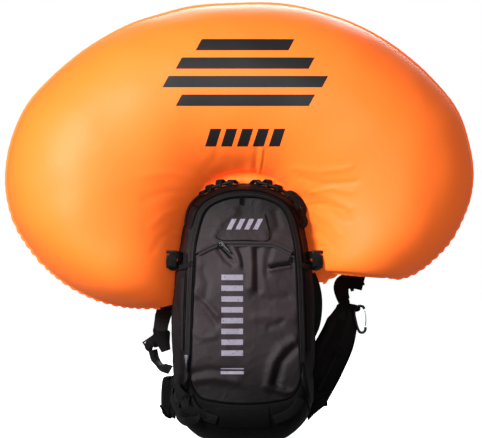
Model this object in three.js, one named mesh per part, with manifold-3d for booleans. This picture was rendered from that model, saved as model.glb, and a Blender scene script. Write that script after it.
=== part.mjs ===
// Ski-touring avalanche airbag backpack with its airbag inflated.
// Units are millimetres, +Z is up. The origin is the centre of the flat base face.
// The pack's outer side faces -Y and the wearer stands on the +Y side, facing +Y.

import * as THREE from "three";
import { mergeVertices } from "three/addons/utils/BufferGeometryUtils.js";
import Module from "manifold-3d";

const wasm = await Module();
wasm.setup();

// ---- driving dimensions ----
const SEAM_GAP = 0.8; // clearance between two sewn or touching pieces
const FABRIC = 3; // laminated pack fabric with its foam
const WEBBING = 2; // thickness of woven webbing

const BACK_Y = 60; // plane where the shell meets the back panel
const PACK_DEPTH = 196; // back plane to the front panel's edge at mid height
const FRONT_CROWN = 12; // how far the front panel bows out
const CORNER_POWER = 2.6; // superellipse power of the gusset's rounded corner
const HOOD_START = 0.2; // the hood begins this far round the gusset, in front of the burst slot

const BACK_FOAM = 14; // thickness of the back panel
const BACK_FACE_Y = BACK_Y + BACK_FOAM;

const AIRBAG_Y = 0; // mid-plane of the airbag
const AIRBAG_RADIUS = 185; // largest half-thickness of the airbag
const AIRBAG_FABRIC = 1.2;

const ZIP_WIDTH = 12;
const ZIP_THICK = 2;

const FAN_X = 30; // impeller axis
const FAN_Z = 462;
const FAN_FRONT_Y = -22; // intake face of the compressor housing
const FAN_DEPTH = 54;
const FAN_WALL = 3;
const VOLUTE_RADIUS = 58;
const IMPELLER_RADIUS = 47;
const BLADES = 12;
const DUCT_WIDTH = 36;

const WING_HINGE_X = 148; // hip-belt wings swing about upright lines here
const WING_Y = BACK_FACE_Y + 13;
const WING_THICK = 18;
const LUMBAR_CLEARANCE = 12; // room for a wing's root to turn past the lumbar pad

// Shell outlines, half of each from bottom centre to top centre: [back x, back z, front x, front z].
const SHELL_PAIRS = [
  [0, -14, 0, 88],
  [80, -14, 60, 92],
  [132, 6, 104, 104],
  [153, 60, 124, 140],
  [162, 150, 123, 215],
  [166, 265, 119, 307],
  [161, 365, 115, 400],
  [149, 450, 108, 468],
  [125, 538, 86, 528],
  [66, 578, 48, 550],
  [0, 590, 0, 556],
];
const SHELL_KNOTS = 2 * (SHELL_PAIRS.length - 1);
const BASE_END = 3; // knots where the base panel meets the side panels
const HOOD_HALF = 2; // the hood covers this many knots each side of top centre
const TOP_KNOT = SHELL_KNOTS / 2;

// Airbag outline, left tip over the top to the right tip: [outer x, outer z, inner x, inner z].
const AIRBAG_PAIRS = [
  [-178, 300, -173, 304],
  [-290, 307, -171, 335],
  [-393, 349, -168, 368],
  [-470, 415, -162, 408],
  [-528, 505, -156, 452],
  [-545, 615, -149, 497],
  [-508, 742, -131, 545],
  [-410, 852, -97, 577],
  [-266, 945, -57, 600],
  [-98, 990, -18, 609],
  [82, 993, 18, 609],
  [254, 951, 57, 600],
  [397, 858, 97, 577],
  [489, 748, 131, 545],
  [523, 620, 149, 497],
  [505, 515, 155, 456],
  [454, 430, 160, 424],
  [370, 371, 165, 400],
  [232, 384, 169, 382],
  [176, 353, 171, 357],
];

// ---- materials ----
const COLOURS = {
  airbag: [0xf79a45, 0.55, 0],
  fabric: [0x453f41, 0.85, 0],
  webbing: [0x1a1718, 0.8, 0],
  foam: [0x2b282a, 0.9, 0],
  plastic: [0x121214, 0.45, 0],
  metal: [0xb9bcc0, 0.3, 1],
  dark_metal: [0x1b1c1f, 0.4, 0.8],
  red_plastic: [0xc8322a, 0.4, 0],
};

function material(kind) {
  const [color, roughness, metalness] = COLOURS[kind];
  return new THREE.MeshStandardMaterial({ color, roughness, metalness });
}

// ---- solid helpers ----
const v3 = (x, y, z) => new THREE.Vector3(x, y, z);

function signedVolume(positions, index) {
  let six = 0;
  const [a, b, c] = [v3(), v3(), v3()];
  for (let i = 0; i < index.length; i += 3) {
    a.fromArray(positions, 3 * index[i]);
    b.fromArray(positions, 3 * index[i + 1]);
    c.fromArray(positions, 3 * index[i + 2]);
    six += a.dot(b.cross(c));
  }
  return six;
}

// A closed body from a point list and triangles, turned so that its faces point out.
function body(points, triangles) {
  const positions = points.flatMap((p) => [p.x, p.y, p.z]);
  if (signedVolume(positions, triangles) < 0) triangles.reverse();
  const geometry = new THREE.BufferGeometry();
  geometry.setAttribute("position", new THREE.Float32BufferAttribute(positions, 3));
  geometry.setIndex(triangles);
  return geometry;
}

// A sheet with thickness: two point grids of the same size, joined round their edges.
function sheet(outer, inner, columns, rows) {
  const points = [];
  for (const face of [outer, inner]) {
    for (let j = 0; j <= rows; j++) {
      for (let i = 0; i <= columns; i++) points.push(face(i / columns, j / rows));
    }
  }
  const half = (columns + 1) * (rows + 1);
  const at = (side, i, j) => side * half + j * (columns + 1) + i;
  const triangles = [];
  const quad = (a, b, c, d) => triangles.push(a, b, c, a, c, d);
  for (let j = 0; j < rows; j++) {
    for (let i = 0; i < columns; i++) {
      quad(at(0, i, j), at(0, i + 1, j), at(0, i + 1, j + 1), at(0, i, j + 1));
      quad(at(1, i, j), at(1, i, j + 1), at(1, i + 1, j + 1), at(1, i + 1, j));
    }
    quad(at(0, 0, j + 1), at(1, 0, j + 1), at(1, 0, j), at(0, 0, j));
    quad(at(0, columns, j), at(1, columns, j), at(1, columns, j + 1), at(0, columns, j + 1));
  }
  for (let i = 0; i < columns; i++) {
    quad(at(0, i, 0), at(1, i, 0), at(1, i + 1, 0), at(0, i + 1, 0));
    quad(at(0, i + 1, rows), at(1, i + 1, rows), at(1, i, rows), at(0, i, rows));
  }
  return body(points, triangles);
}

// A closed body through rings of points, with a fan over each end.
function loft(rings) {
  const count = rings[0].length;
  const points = rings.flat();
  const triangles = [];
  for (let r = 0; r + 1 < rings.length; r++) {
    for (let i = 0; i < count; i++) {
      const a = r * count + i;
      const b = r * count + ((i + 1) % count);
      triangles.push(a, b, b + count, a, b + count, a + count);
    }
  }
  const last = (rings.length - 1) * count;
  for (let i = 1; i + 1 < count; i++) {
    triangles.push(0, i + 1, i, last, last + i, last + i + 1);
  }
  return body(points, triangles);
}

// Boolean cuts and joins.
function solid(geometry) {
  const clean = geometry.clone();
  clean.deleteAttribute("normal");
  clean.deleteAttribute("uv");
  const merged = mergeVertices(clean, 1e-4);
  const mesh = new wasm.Mesh({
    numProp: 3,
    vertProperties: new Float32Array(merged.attributes.position.array),
    triVerts: new Uint32Array(merged.index.array),
  });
  return new wasm.Manifold(mesh);
}

function geometryOf(manifold) {
  const mesh = manifold.getMesh();
  const geometry = new THREE.BufferGeometry();
  geometry.setAttribute("position", new THREE.Float32BufferAttribute(mesh.vertProperties, 3));
  geometry.setIndex(Array.from(mesh.triVerts));
  return geometry;
}

const cut = (base, ...tools) =>
  geometryOf(tools.reduce((left, tool) => left.subtract(solid(tool)), solid(base)));
const join = (base, ...more) =>
  geometryOf(more.reduce((left, piece) => left.add(solid(piece)), solid(base)));
const common = (base, tool) => geometryOf(solid(base).intersect(solid(tool)));

// Primitive shapes placed by their limits or centres.
function box(x0, x1, y0, y1, z0, z1) {
  const geometry = new THREE.BoxGeometry(x1 - x0, y1 - y0, z1 - z0);
  return geometry.translate((x0 + x1) / 2, (y0 + y1) / 2, (z0 + z1) / 2);
}

// A cylinder along Y between two depths.
function drum(x, z, radius, y0, y1, sides = 32) {
  const geometry = new THREE.CylinderGeometry(radius, radius, y1 - y0, sides);
  return geometry.translate(x, (y0 + y1) / 2, z);
}

// An outline drawn in X and Z, extruded along Y between two depths.
function plate(points, y0, y1) {
  const shape = new THREE.Shape(points.map(([x, z]) => new THREE.Vector2(x, z)));
  const geometry = new THREE.ExtrudeGeometry(shape, { depth: y1 - y0, bevelEnabled: false });
  return geometry.rotateX(Math.PI / 2).translate(0, y1, 0);
}

// A round bar along a curve through the given points.
function bar(points, radius, steps, sides) {
  const section = new THREE.Shape();
  section.absarc(0, 0, radius, 0, 2 * Math.PI);
  const extrudePath = new THREE.CatmullRomCurve3(points.map((p) => v3(...p)));
  return new THREE.ExtrudeGeometry(section, { steps, extrudePath, curveSegments: sides / 2 });
}

// Value at t of a list spread evenly over 0 to 1.
function spread(list, t) {
  if (!Array.isArray(list)) return list;
  const at = t * (list.length - 1);
  const i = Math.min(Math.floor(at), list.length - 2);
  return THREE.MathUtils.lerp(list[i], list[i + 1], at - i);
}

// Webbing or a padded strap: a flat section swept along a path. "facing" points out of its
// flat side, at each path point. A rounded section makes a pad, a square one webbing.
function strap({ path, facing, width, thickness, steps = 12, rounded = false }) {
  const centre = new THREE.CatmullRomCurve3(path.map((p) => v3(...p)));
  const outward = facing.map((p) => v3(...p));
  const sides = rounded ? 10 : 4;
  const rings = [];
  for (let s = 0; s <= steps; s++) {
    const t = s / steps;
    const tangent = centre.getTangent(t);
    const at = t * (outward.length - 1);
    const i = Math.min(Math.floor(at), outward.length - 2);
    const up = outward.length < 2 ? outward[0].clone() : outward[i].clone().lerp(outward[i + 1], at - i);
    up.addScaledVector(tangent, -up.dot(tangent)).normalize();
    const side = v3().crossVectors(tangent, up);
    const halfWidth = spread(width, t) / 2;
    const halfThick = spread(thickness, t) / 2;
    const ring = [];
    for (let c = 0; c < sides; c++) {
      const angle = (2 * Math.PI * (c + 0.5)) / sides;
      const across = rounded ? Math.cos(angle) : Math.sign(Math.cos(angle));
      const proud = rounded ? Math.sign(Math.sin(angle)) * Math.abs(Math.sin(angle)) ** 0.5 : Math.sign(Math.sin(angle));
      const point = centre.getPoint(t);
      point.addScaledVector(side, across * halfWidth);
      point.addScaledVector(up, proud * halfThick);
      ring.push(point);
    }
    rings.push(ring);
  }
  return loft(rings);
}

// ---- the shell's surfaces ----
function closedCurve(columnX, columnZ) {
  const right = SHELL_PAIRS.map((p) => v3(p[columnX], 0, p[columnZ]));
  const left = right.slice(1, -1).reverse().map((p) => v3(-p.x, 0, p.z));
  return new THREE.CatmullRomCurve3([...right, ...left], true);
}

const backOutline = closedCurve(0, 1);
const frontOutline = closedCurve(2, 3);

function outlineAt(curve, knot) {
  const turn = knot / SHELL_KNOTS;
  return curve.getPoint(turn - Math.floor(turn));
}

// Depth of the front panel's surface. It leans back towards the hood and tucks in at the base.
function frontY(x, z) {
  const lean = 40 * THREE.MathUtils.smoothstep(z, 380, 580);
  const tuck = 14 * (1 - THREE.MathUtils.smoothstep(z, 60, 200));
  const crown = FRONT_CROWN * (1 - (x / 130) ** 2);
  return BACK_Y - PACK_DEPTH + lean + tuck - crown;
}

// The gusset runs from the back outline (t = 0) round the corner to the front outline (t = 1).
function gusset(knot, t) {
  const back = outlineAt(backOutline, knot);
  const front = outlineAt(frontOutline, knot);
  const across = 1 - Math.cos((t * Math.PI) / 2) ** (2 / CORNER_POWER);
  const forward = Math.sin((t * Math.PI) / 2) ** (2 / CORNER_POWER);
  const point = back.lerp(front, across);
  point.y = THREE.MathUtils.lerp(BACK_Y, frontY(front.x, front.z), forward);
  point.z = Math.max(point.z, 0);
  return point;
}

// The front panel's surface, from its centre (r = 0) to its edge (r = 1).
function frontSurface(knot, r) {
  const edge = outlineAt(frontOutline, knot);
  const x = edge.x * r;
  const z = THREE.MathUtils.lerp(320, edge.z, r);
  return v3(x, frontY(x, z), z);
}

const SHELL_CENTRE = v3(0, BACK_Y - 90, 300);

function outwardNormal(surface, u, v, vLow = 0, vHigh = 1) {
  const step = 0.02;
  const alongU = surface(u + step, v).sub(surface(u - step, v));
  const alongV = surface(u, Math.min(v + step, vHigh)).sub(surface(u, Math.max(v - step, vLow)));
  const normal = alongU.cross(alongV).normalize();
  const outward = surface(u, v).sub(SHELL_CENTRE);
  return normal.dot(outward) < 0 ? normal.negate() : normal;
}

// A sewn panel: a patch of a surface between two offsets from it.
function panel(surface, [u0, u1], [v0, v1], lift, thickness, columns, rows) {
  const place = (offset) => (i, j) => {
    const u = THREE.MathUtils.lerp(u0, u1, i);
    const v = THREE.MathUtils.lerp(v0, v1, j);
    return surface(u, v).addScaledVector(outwardNormal(surface, u, v), offset);
  };
  return sheet(place(lift + thickness), place(lift), columns, rows);
}

// Webbing that lies on a surface, through points given as [u, v].
function strapOn(surface, route, { lift, width, thickness = WEBBING, steps = 10 }) {
  const normals = route.map(([u, v]) => outwardNormal(surface, u, v));
  const path = route.map(([u, v], i) =>
    surface(u, v).addScaledVector(normals[i], lift + thickness / 2).toArray()
  );
  return strap({ path, facing: normals.map((n) => n.toArray()), width, thickness, steps });
}

const SEAM_KNOTS = (2 * SEAM_GAP) / 90; // a seam's gap, in knots of about 90 mm

// ---- pack shell ----
function frontDisc() {
  const rings = 5;
  const columns = 44;
  const outer = [];
  const inner = [];
  for (let j = 1; j <= rings; j++) {
    const reach = (j / rings) * (1 - SEAM_GAP / 110);
    for (let i = 0; i < columns; i++) {
      const point = frontSurface((i / columns) * SHELL_KNOTS, reach);
      outer.push(point);
      inner.push(point.clone().add(v3(0, FABRIC, 0)));
    }
  }
  const points = [...outer, ...inner];
  const centre = frontSurface(0, 0);
  points.push(centre, centre.clone().add(v3(0, FABRIC, 0)));
  const [middle, middleIn] = [points.length - 2, points.length - 1];
  const half = rings * columns;
  const triangles = [];
  for (let i = 0; i < columns; i++) {
    const next = (i + 1) % columns;
    triangles.push(middle, i, next, middleIn, half + next, half + i);
    for (let j = 0; j + 1 < rings; j++) {
      const [a, b] = [j * columns + i, j * columns + next];
      const [c, d] = [a + columns, b + columns];
      triangles.push(a, c, d, a, d, b);
      triangles.push(half + a, half + d, half + c, half + a, half + b, half + d);
    }
    const edge = (rings - 1) * columns;
    const [a, b] = [edge + i, edge + next];
    triangles.push(a, half + a, half + b, a, half + b, b);
  }
  return body(points, triangles);
}

// The goggle pocket's zip: straight across the middle and falling away to both sides.
const GOGGLE_ZIP_Z = 449;
const goggleZipRoute = [[-104, 429], [-84, 440], [-64, GOGGLE_ZIP_Z - 1], [-40, GOGGLE_ZIP_Z],
  [0, GOGGLE_ZIP_Z], [40, GOGGLE_ZIP_Z], [64, GOGGLE_ZIP_Z - 1], [84, 440], [104, 429]];

function aboveGoggleZip(shift) {
  const low = goggleZipRoute.map(([x, z]) => [x, z + shift]);
  const left = [-160, 429 - 30 + shift];
  const right = [160, 429 - 30 + shift];
  return plate([left, ...low, right, [160, 640], [-160, 640]], -200, 60);
}

function gogglePocket() {
  return common(frontDisc(), aboveGoggleZip(ZIP_WIDTH / 4));
}

function frontPanel() {
  return cut(frontDisc(), aboveGoggleZip(-ZIP_WIDTH / 4));
}

function goggleZip() {
  const path = goggleZipRoute.map(([x, z]) => [x, frontY(x, z) - 2 * SEAM_GAP - ZIP_THICK / 2, z]);
  return strap({ path, facing: [[0, -1, 0]], width: ZIP_WIDTH, thickness: ZIP_THICK, steps: 24 });
}

const sideRange = (sign) =>
  sign > 0
    ? [BASE_END + SEAM_KNOTS, TOP_KNOT - HOOD_HALF - SEAM_KNOTS]
    : [TOP_KNOT + HOOD_HALF + SEAM_KNOTS, SHELL_KNOTS - BASE_END - SEAM_KNOTS];

function sidePanel(sign) {
  return panel(gusset, sideRange(sign), [0, 1], -FABRIC, FABRIC, 12, 9);
}

function topHood() {
  const range = [TOP_KNOT - HOOD_HALF, TOP_KNOT + HOOD_HALF];
  return panel(gusset, range, [HOOD_START, 1], -FABRIC, FABRIC, 12, 8);
}

function basePanel() {
  return panel(gusset, [-BASE_END, BASE_END], [0, 1], -FABRIC, FABRIC, 14, 10);
}

function basePatch() {
  return panel(gusset, [-0.9, 0.9], [0.7, 0.97], SEAM_GAP, WEBBING, 6, 4);
}

// The main zip runs up one side of the front panel, round under the hood and down the other.
const MAIN_ZIP_KNOTS = [3.7, SHELL_KNOTS - 3.7];
const MAIN_ZIP_BAND = [0.905, 0.965];

function mainZip() {
  return panel(gusset, MAIN_ZIP_KNOTS, MAIN_ZIP_BAND, SEAM_GAP, ZIP_THICK, 30, 1);
}

// A zip slider: a bridge on the coil with a pull tab hanging from it.
function zipSlider(length, width) {
  const bridge = box(-width / 2, width / 2, -5, 0, -length / 2, length / 2);
  const tab = box(-2.5, 2.5, -6.5, -4, -length / 2 - 22, -length / 2 + 4);
  return join(bridge, tab);
}

function mainZipSlider() {
  const middle = (MAIN_ZIP_BAND[0] + MAIN_ZIP_BAND[1]) / 2;
  const knot = SHELL_KNOTS - 3.85;
  const place = gusset(knot, middle);
  const normal = outwardNormal(gusset, knot, middle);
  const turn = Math.atan2(normal.x, -normal.y);
  const slider = zipSlider(14, 10).rotateZ(turn);
  return slider.translate(...place.addScaledVector(normal, 2 * SEAM_GAP + ZIP_THICK).toArray());
}

function goggleZipSlider() {
  const slider = zipSlider(12, 9).rotateY(-0.75);
  const x = -52;
  return slider.translate(x, frontY(0, GOGGLE_ZIP_Z) - 3 * SEAM_GAP - ZIP_THICK, GOGGLE_ZIP_Z);
}

// ---- airbag ----
function airbagCurves() {
  const through = (x, z) => new THREE.CatmullRomCurve3(AIRBAG_PAIRS.map((p) => v3(p[x], AIRBAG_Y, p[z])));
  return [through(0, 1), through(2, 3)];
}

// A point of the airbag: u runs along it, v from the outer seam (0) to the inner seam (1).
function airbagPoint(u, v, sign, inset) {
  const [outer, inner] = airbagCurves();
  const out = outer.getPoint(u);
  const into = inner.getPoint(u);
  const centre = out.clone().lerp(into, 0.5);
  const half = out.clone().sub(into).multiplyScalar(0.5);
  const width = half.length();
  const fullness = Math.min(1, width / AIRBAG_RADIUS);
  const depth = AIRBAG_RADIUS * Math.sin((fullness * Math.PI) / 2);
  const shrink = Math.max(0.2, 1 - inset / Math.min(width, depth));
  const angle = v * Math.PI;
  centre.addScaledVector(half, Math.cos(angle) * shrink);
  centre.y += sign * (depth * Math.sin(angle) * shrink + 0.2);
  return centre;
}

function airbagPanel(sign) {
  const end = 0.012;
  const along = (i) => THREE.MathUtils.lerp(end, 1 - end, i);
  const face = (inset) => (i, j) => airbagPoint(along(i), j, sign, inset);
  const shell = sheet(face(0), face(AIRBAG_FABRIC), 38, 10);
  const inlet = box(-34, 14, AIRBAG_Y - 6, AIRBAG_Y + 32, 600, 625);
  return cut(shell, inlet);
}

// The fabric collar that carries the airbag out through the slot behind the hood.
function airbagCollar() {
  const arch = (rise, half) => {
    const outline = [];
    for (let i = 0; i <= 12; i++) {
      const x = THREE.MathUtils.lerp(-half, half, i / 12);
      outline.push([x, rise - 44 * (x / 112) ** 2]);
    }
    return outline;
  };
  const [front, back] = [-6, 46];
  const sleeve = plate([...arch(608, 100), ...arch(572, 100).reverse()], front, back);
  const bore = box(-38, 18, front + 6, back - 6, 540, 640);
  return cut(sleeve, bore);
}

// ---- back panel and frame ----
function insetOutline(curve, inset) {
  const points = [];
  const centre = v3(0, 0, 300);
  for (let knot = 0; knot < SHELL_KNOTS; knot += 0.5) {
    const point = outlineAt(curve, knot);
    const reach = point.clone().sub(centre);
    point.addScaledVector(reach, -inset / reach.length());
    points.push([point.x, Math.max(point.z, 1.5)]);
  }
  return points;
}

const CABLE_HOLE = [-26, 494];

function backPanel() {
  const foam = plate(insetOutline(backOutline, 4), BACK_Y + SEAM_GAP, BACK_FACE_Y);
  return cut(foam, drum(...CABLE_HOLE, 5, BACK_Y - 5, BACK_FACE_Y + 5, 16));
}

function frameSheet() {
  const sheetOutline = insetOutline(backOutline, 16).map(([x, z]) => [x, Math.max(z, 12)]);
  const plastic = plate(sheetOutline, BACK_Y - 6, BACK_Y - 4);
  return cut(plastic, drum(...CABLE_HOLE, 5, BACK_Y - 20, BACK_Y + 5, 16));
}

function frameStay(sign) {
  return box(sign * 62 - 6, sign * 62 + 6, BACK_Y - 3.4, BACK_Y - 0.4, 40, 520);
}

function lumbarPad() {
  const end = WING_HINGE_X - LUMBAR_CLEARANCE;
  const path = [[-end, WING_Y, 98], [0, WING_Y, 104], [end, WING_Y, 98]];
  return strap({ path, facing: [[0, 1, 0]], width: [96, 116, 96], thickness: 20, steps: 10, rounded: true });
}

// ---- shoulder harness ----
const PAD_OUT = BACK_Y + 98; // the pads stand this far back where they run straight down
const STRAP_TOP = [[62, BACK_FACE_Y + 11, 498], [70, BACK_Y + 62, 536], [88, PAD_OUT - 6, 512],
  [104, PAD_OUT, 456], [110, PAD_OUT, 400]];
const STRAP_END = {
  left: [[138, PAD_OUT - 18, 345], [178, PAD_OUT - 34, 296], [194, PAD_OUT - 42, 236]],
  right: [[112, PAD_OUT - 8, 345], [113, PAD_OUT - 24, 290], [116, PAD_OUT - 40, 240]],
};
const PAD_FACING = [[0, 0.3, 1], [0, 0.7, 0.8], [0, 1, 0.5], [0, 1, 0.1], [0, 1, 0], [0, 1, -0.2],
  [0, 1, -0.3], [0, 1, -0.3]];
const PAD_WIDTH = [58, 62, 62, 62, 60, 54, 46, 38];
const sideName = (sign) => (sign < 0 ? "left" : "right");

function padRoute(sign) {
  return [...STRAP_TOP, ...STRAP_END[sideName(sign)]].map(([x, y, z]) => [sign * x, y, z]);
}

function shoulderStrap(sign) {
  return strap({ path: padRoute(sign), facing: PAD_FACING, width: PAD_WIDTH, thickness: 12, steps: 20,
    rounded: true });
}

// A ladder-lock buckle: a frame of four sides with one cross-bar.
function ladderLock(width, height, depth) {
  const frame = box(-width / 2, width / 2, -depth / 2, depth / 2, -height / 2, height / 2);
  const window = (low, high) => box(-width / 2 + 4, width / 2 - 4, -depth, depth, low, high);
  return cut(frame, window(-height / 2 + 3.5, -2), window(2, height / 2 - 3.5));
}

const ADJUSTER = { left: [-215, PAD_OUT - 46, 214], right: [117, PAD_OUT - 46, 214] };

function strapAdjuster(sign) {
  const tilt = sign < 0 ? 0.6 : 0;
  const lock = ladderLock(30, 24, 5).rotateY(-tilt);
  return lock.translate(...ADJUSTER[sideName(sign)]);
}

const WEBBING_ROUTE = {
  left: [[-209, PAD_OUT - 52, 198], [-203, BACK_Y + 42, 176], [-188, BACK_Y + 25, 160], [-168, BACK_Y + 11, 153]],
  right: [[117, PAD_OUT - 54, 198], [119, BACK_Y + 44, 188], [121, BACK_Y + 30, 178], [122, BACK_FACE_Y + 9, 170]],
};

function shoulderWebbing(sign) {
  const facing = sign < 0 ? [[-0.4, 0.8, 0.4], [-0.7, 0.6, 0.2]] : [[0, 1, 0.6], [0, 1, 1]];
  return strap({ path: WEBBING_ROUTE[sideName(sign)], facing, width: 22, thickness: WEBBING, steps: 8 });
}

// Load lifters run from the top of the back panel to the crest of each shoulder strap.
function loadLifter(sign) {
  const path = [[58, BACK_FACE_Y + 3, 560], [64, BACK_Y + 50, 566], [78, BACK_Y + 90, 544]];
  return strap({ path: path.map(([x, y, z]) => [sign * x, y, z]), facing: [[0, 0.1, 1], [0, 0.5, 1]],
    width: 18, thickness: WEBBING, steps: 8 });
}

function haulLoop() {
  const path = [[-26, BACK_FACE_Y + 3, 566], [-27, BACK_FACE_Y + 16, 574], [-14, BACK_FACE_Y + 30, 580],
    [0, BACK_FACE_Y + 34, 581], [14, BACK_FACE_Y + 30, 580], [27, BACK_FACE_Y + 16, 574], [26, BACK_FACE_Y + 3, 566]];
  return strap({ path, facing: [[0, 0, 1]], width: 12, thickness: 4, steps: 20 });
}

const STERNUM_Z = 440;
const STERNUM_Y = PAD_OUT + 8;

function sternumStrap(sign) {
  const path = [[12, STERNUM_Y + 4, STERNUM_Z], [50, STERNUM_Y + 3, STERNUM_Z], [106, STERNUM_Y + 1, STERNUM_Z]];
  return strap({ path: path.map(([x, y, z]) => [sign * x, y, z]), facing: [[0, 1, 0]], width: 20,
    thickness: WEBBING, steps: 6 });
}

function sternumBuckle() {
  const shellBody = box(-22, 22, STERNUM_Y - 1, STERNUM_Y + 9, STERNUM_Z - 13, STERNUM_Z + 13);
  const slot = (sign) => {
    const [near, far] = sign < 0 ? [-30, -10] : [10, 30];
    return box(near, far, STERNUM_Y + 1.5, STERNUM_Y + 6.5, STERNUM_Z - 11, STERNUM_Z + 11);
  };
  return cut(shellBody, slot(-1), slot(1));
}

// ---- trigger ----
const HANDLE = [-108, PAD_OUT + 18, 352];

function triggerHandle() {
  const [x, y, z] = HANDLE;
  const grip = box(x - 26, x + 26, y - 7, y + 7, z - 34, z - 18);
  const stem = box(x - 9, x + 9, y - 5, y + 5, z - 20, z + 14);
  return join(grip, stem);
}

function triggerHolster() {
  const [x, y, z] = HANDLE;
  const shellBody = box(x - 16, x + 16, y - 9, y + 9, z - 12, z + 38);
  const socket = box(x - 10, x + 10, y - 6, y + 6, z - 30, z + 15);
  return cut(shellBody, socket);
}

// The release cable leaves the holster, follows the pad's inner edge over the shoulder and goes
// through the back panel to the compressor's release.
function triggerCable() {
  const edge = (i, reach, drop = 0) => {
    const [x, y, z] = padRoute(-1)[i];
    return [x + PAD_WIDTH[i] / 2 + reach, y, z + drop];
  };
  const path = [[-89, PAD_OUT + 18, 378], [-76, PAD_OUT + 12, 388], [-71, PAD_OUT, 404], edge(3, 7), edge(2, 7),
    edge(1, 8), [-28, BACK_FACE_Y + 22, 510], [CABLE_HOLE[0], BACK_FACE_Y + 6, CABLE_HOLE[1]],
    [CABLE_HOLE[0], BACK_Y, CABLE_HOLE[1]], [CABLE_HOLE[0], BACK_Y - 12, CABLE_HOLE[1]],
    [CABLE_HOLE[0] - 8, BACK_Y - 26, CABLE_HOLE[1] - 20], [CABLE_HOLE[0] - 9, 20, 452]];
  return bar(path, 2.5, 60, 8);
}

// ---- compressor and electronics ----
function compressorHousing() {
  const back = FAN_FRONT_Y + FAN_DEPTH;
  const left = FAN_X - VOLUTE_RADIUS;
  const volute = drum(FAN_X, FAN_Z, VOLUTE_RADIUS, FAN_FRONT_Y, back, 40);
  const spout = box(left, left + DUCT_WIDTH, FAN_FRONT_Y, back, FAN_Z, FAN_Z + 78);
  const room = drum(FAN_X, FAN_Z, VOLUTE_RADIUS - FAN_WALL, FAN_FRONT_Y + FAN_WALL, back - FAN_WALL, 40);
  const throat = box(left + FAN_WALL, left + DUCT_WIDTH - FAN_WALL, FAN_FRONT_Y + FAN_WALL, back - FAN_WALL,
    FAN_Z + 4, FAN_Z + 90);
  const intake = drum(FAN_X, FAN_Z, 27, FAN_FRONT_Y - 5, FAN_FRONT_Y + 10, 28);
  const shaftHole = drum(FAN_X, FAN_Z, 6, back - 10, back + 5, 16);
  return cut(join(volute, spout), room, throat, intake, shaftHole);
}

function impeller() {
  const back = FAN_FRONT_Y + FAN_DEPTH - FAN_WALL - 3;
  const front = FAN_FRONT_Y + FAN_WALL + 4;
  const disc = drum(FAN_X, FAN_Z, IMPELLER_RADIUS, back - 3, back, 32);
  const hub = drum(FAN_X, FAN_Z, 9, front + 8, back - 1, 16);
  const shaft = drum(FAN_X, FAN_Z, 3, back - 2, FAN_FRONT_Y + FAN_DEPTH + 10, 12);
  const blades = [];
  for (let i = 0; i < BLADES; i++) {
    const blade = box(24, IMPELLER_RADIUS - 1, front, back - 1, -1, 1);
    blade.translate(-24, 0, 0).rotateY(0.5).translate(24, 0, 0);
    blade.rotateY((2 * Math.PI * i) / BLADES).translate(FAN_X, 0, FAN_Z);
    blades.push(blade);
  }
  return join(disc, hub, shaft, ...blades);
}

function fanMotor() {
  const front = FAN_FRONT_Y + FAN_DEPTH + 0.6;
  const can = drum(FAN_X, FAN_Z, 21, front, BACK_Y - 7, 28);
  return cut(can, drum(FAN_X, FAN_Z, 4, front - 2, front + 13, 12));
}

function intakeGrille() {
  const [y0, y1] = [FAN_FRONT_Y - 4, FAN_FRONT_Y - 0.6];
  const ring = cut(drum(FAN_X, FAN_Z, 33, y0, y1, 28), drum(FAN_X, FAN_Z, 28, y0 - 1, y1 + 1, 28));
  const bars = [];
  for (let i = -2; i <= 2; i++) {
    const half = Math.sqrt(30 ** 2 - (i * 9) ** 2);
    bars.push(box(FAN_X - half, FAN_X + half, y0 + 0.5, y1 - 0.5, FAN_Z + i * 9 - 1.2, FAN_Z + i * 9 + 1.2));
  }
  return join(ring, ...bars);
}

// Fabric duct from the compressor's spout up into the airbag's inlet.
function outletDuct() {
  const left = FAN_X - VOLUTE_RADIUS;
  const [x0, x1] = [left, left + DUCT_WIDTH];
  const [y0, y1] = [1, 31];
  const [z0, z1] = [FAN_Z + 79, 606];
  return cut(box(x0, x1, y0, y1, z0, z1), box(x0 + 2, x1 - 2, y0 + 2, y1 - 2, z0 - 5, z1 + 5));
}

function capacitorPack() {
  const cell = (x) => {
    const can = new THREE.CylinderGeometry(22, 22, 72, 28);
    return can.rotateX(Math.PI / 2).translate(x, 24, 352);
  };
  const tray = box(-82, 10, 42, 51, 312, 392);
  return join(tray, cell(-60), cell(-12));
}

const CASE = { x0: 24, x1: 120, y0: 0, y1: 50, z0: 312, z1: 392 };
const COVER_HINGE_Z = CASE.z0 + 8;

function electronicsCase() {
  const { x0, x1, y0, y1, z0, z1 } = CASE;
  const outer = box(x0, x1, y0, y1, z0, z1);
  const batteryBay = box(x0 + 4, x0 + 56, y0 - 2, y1 - 18, z0 + 10, z1 - 10);
  const buttonWell = drum(x1 - 18, z1 - 20, 7, y0 - 2, y0 + 6, 20);
  return cut(outer, batteryBay, buttonWell);
}

function batteryCover() {
  const { x0, y0, z1 } = CASE;
  const lid = box(x0 + 2, x0 + 58, y0 - 3.5, y0 - 0.6, COVER_HINGE_Z - 4, z1 - 6);
  const lip = box(x0 + 20, x0 + 40, y0 - 6, y0 - 2, z1 - 12, z1 - 8);
  return join(lid, lip);
}

function powerButton() {
  const { x1, y0, z1 } = CASE;
  return drum(x1 - 18, z1 - 20, 6.2, y0 - 2, y0 + 3.5, 20);
}

// ---- hip belt ----
// The right wing is splayed out and lifted; the left wing is folded back behind the pack.
const WING_ROUTE = {
  right: [[138, WING_Y, 66], [178, WING_Y + 2, 146], [212, WING_Y + 2, 214], [228, WING_Y + 2, 262],
    [236, WING_Y, 306]],
  left: [[-153, WING_Y + 5, 88], [-176, WING_Y + 30, 88], [-180, WING_Y + 76, 92], [-156, WING_Y + 116, 98]],
};

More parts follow.
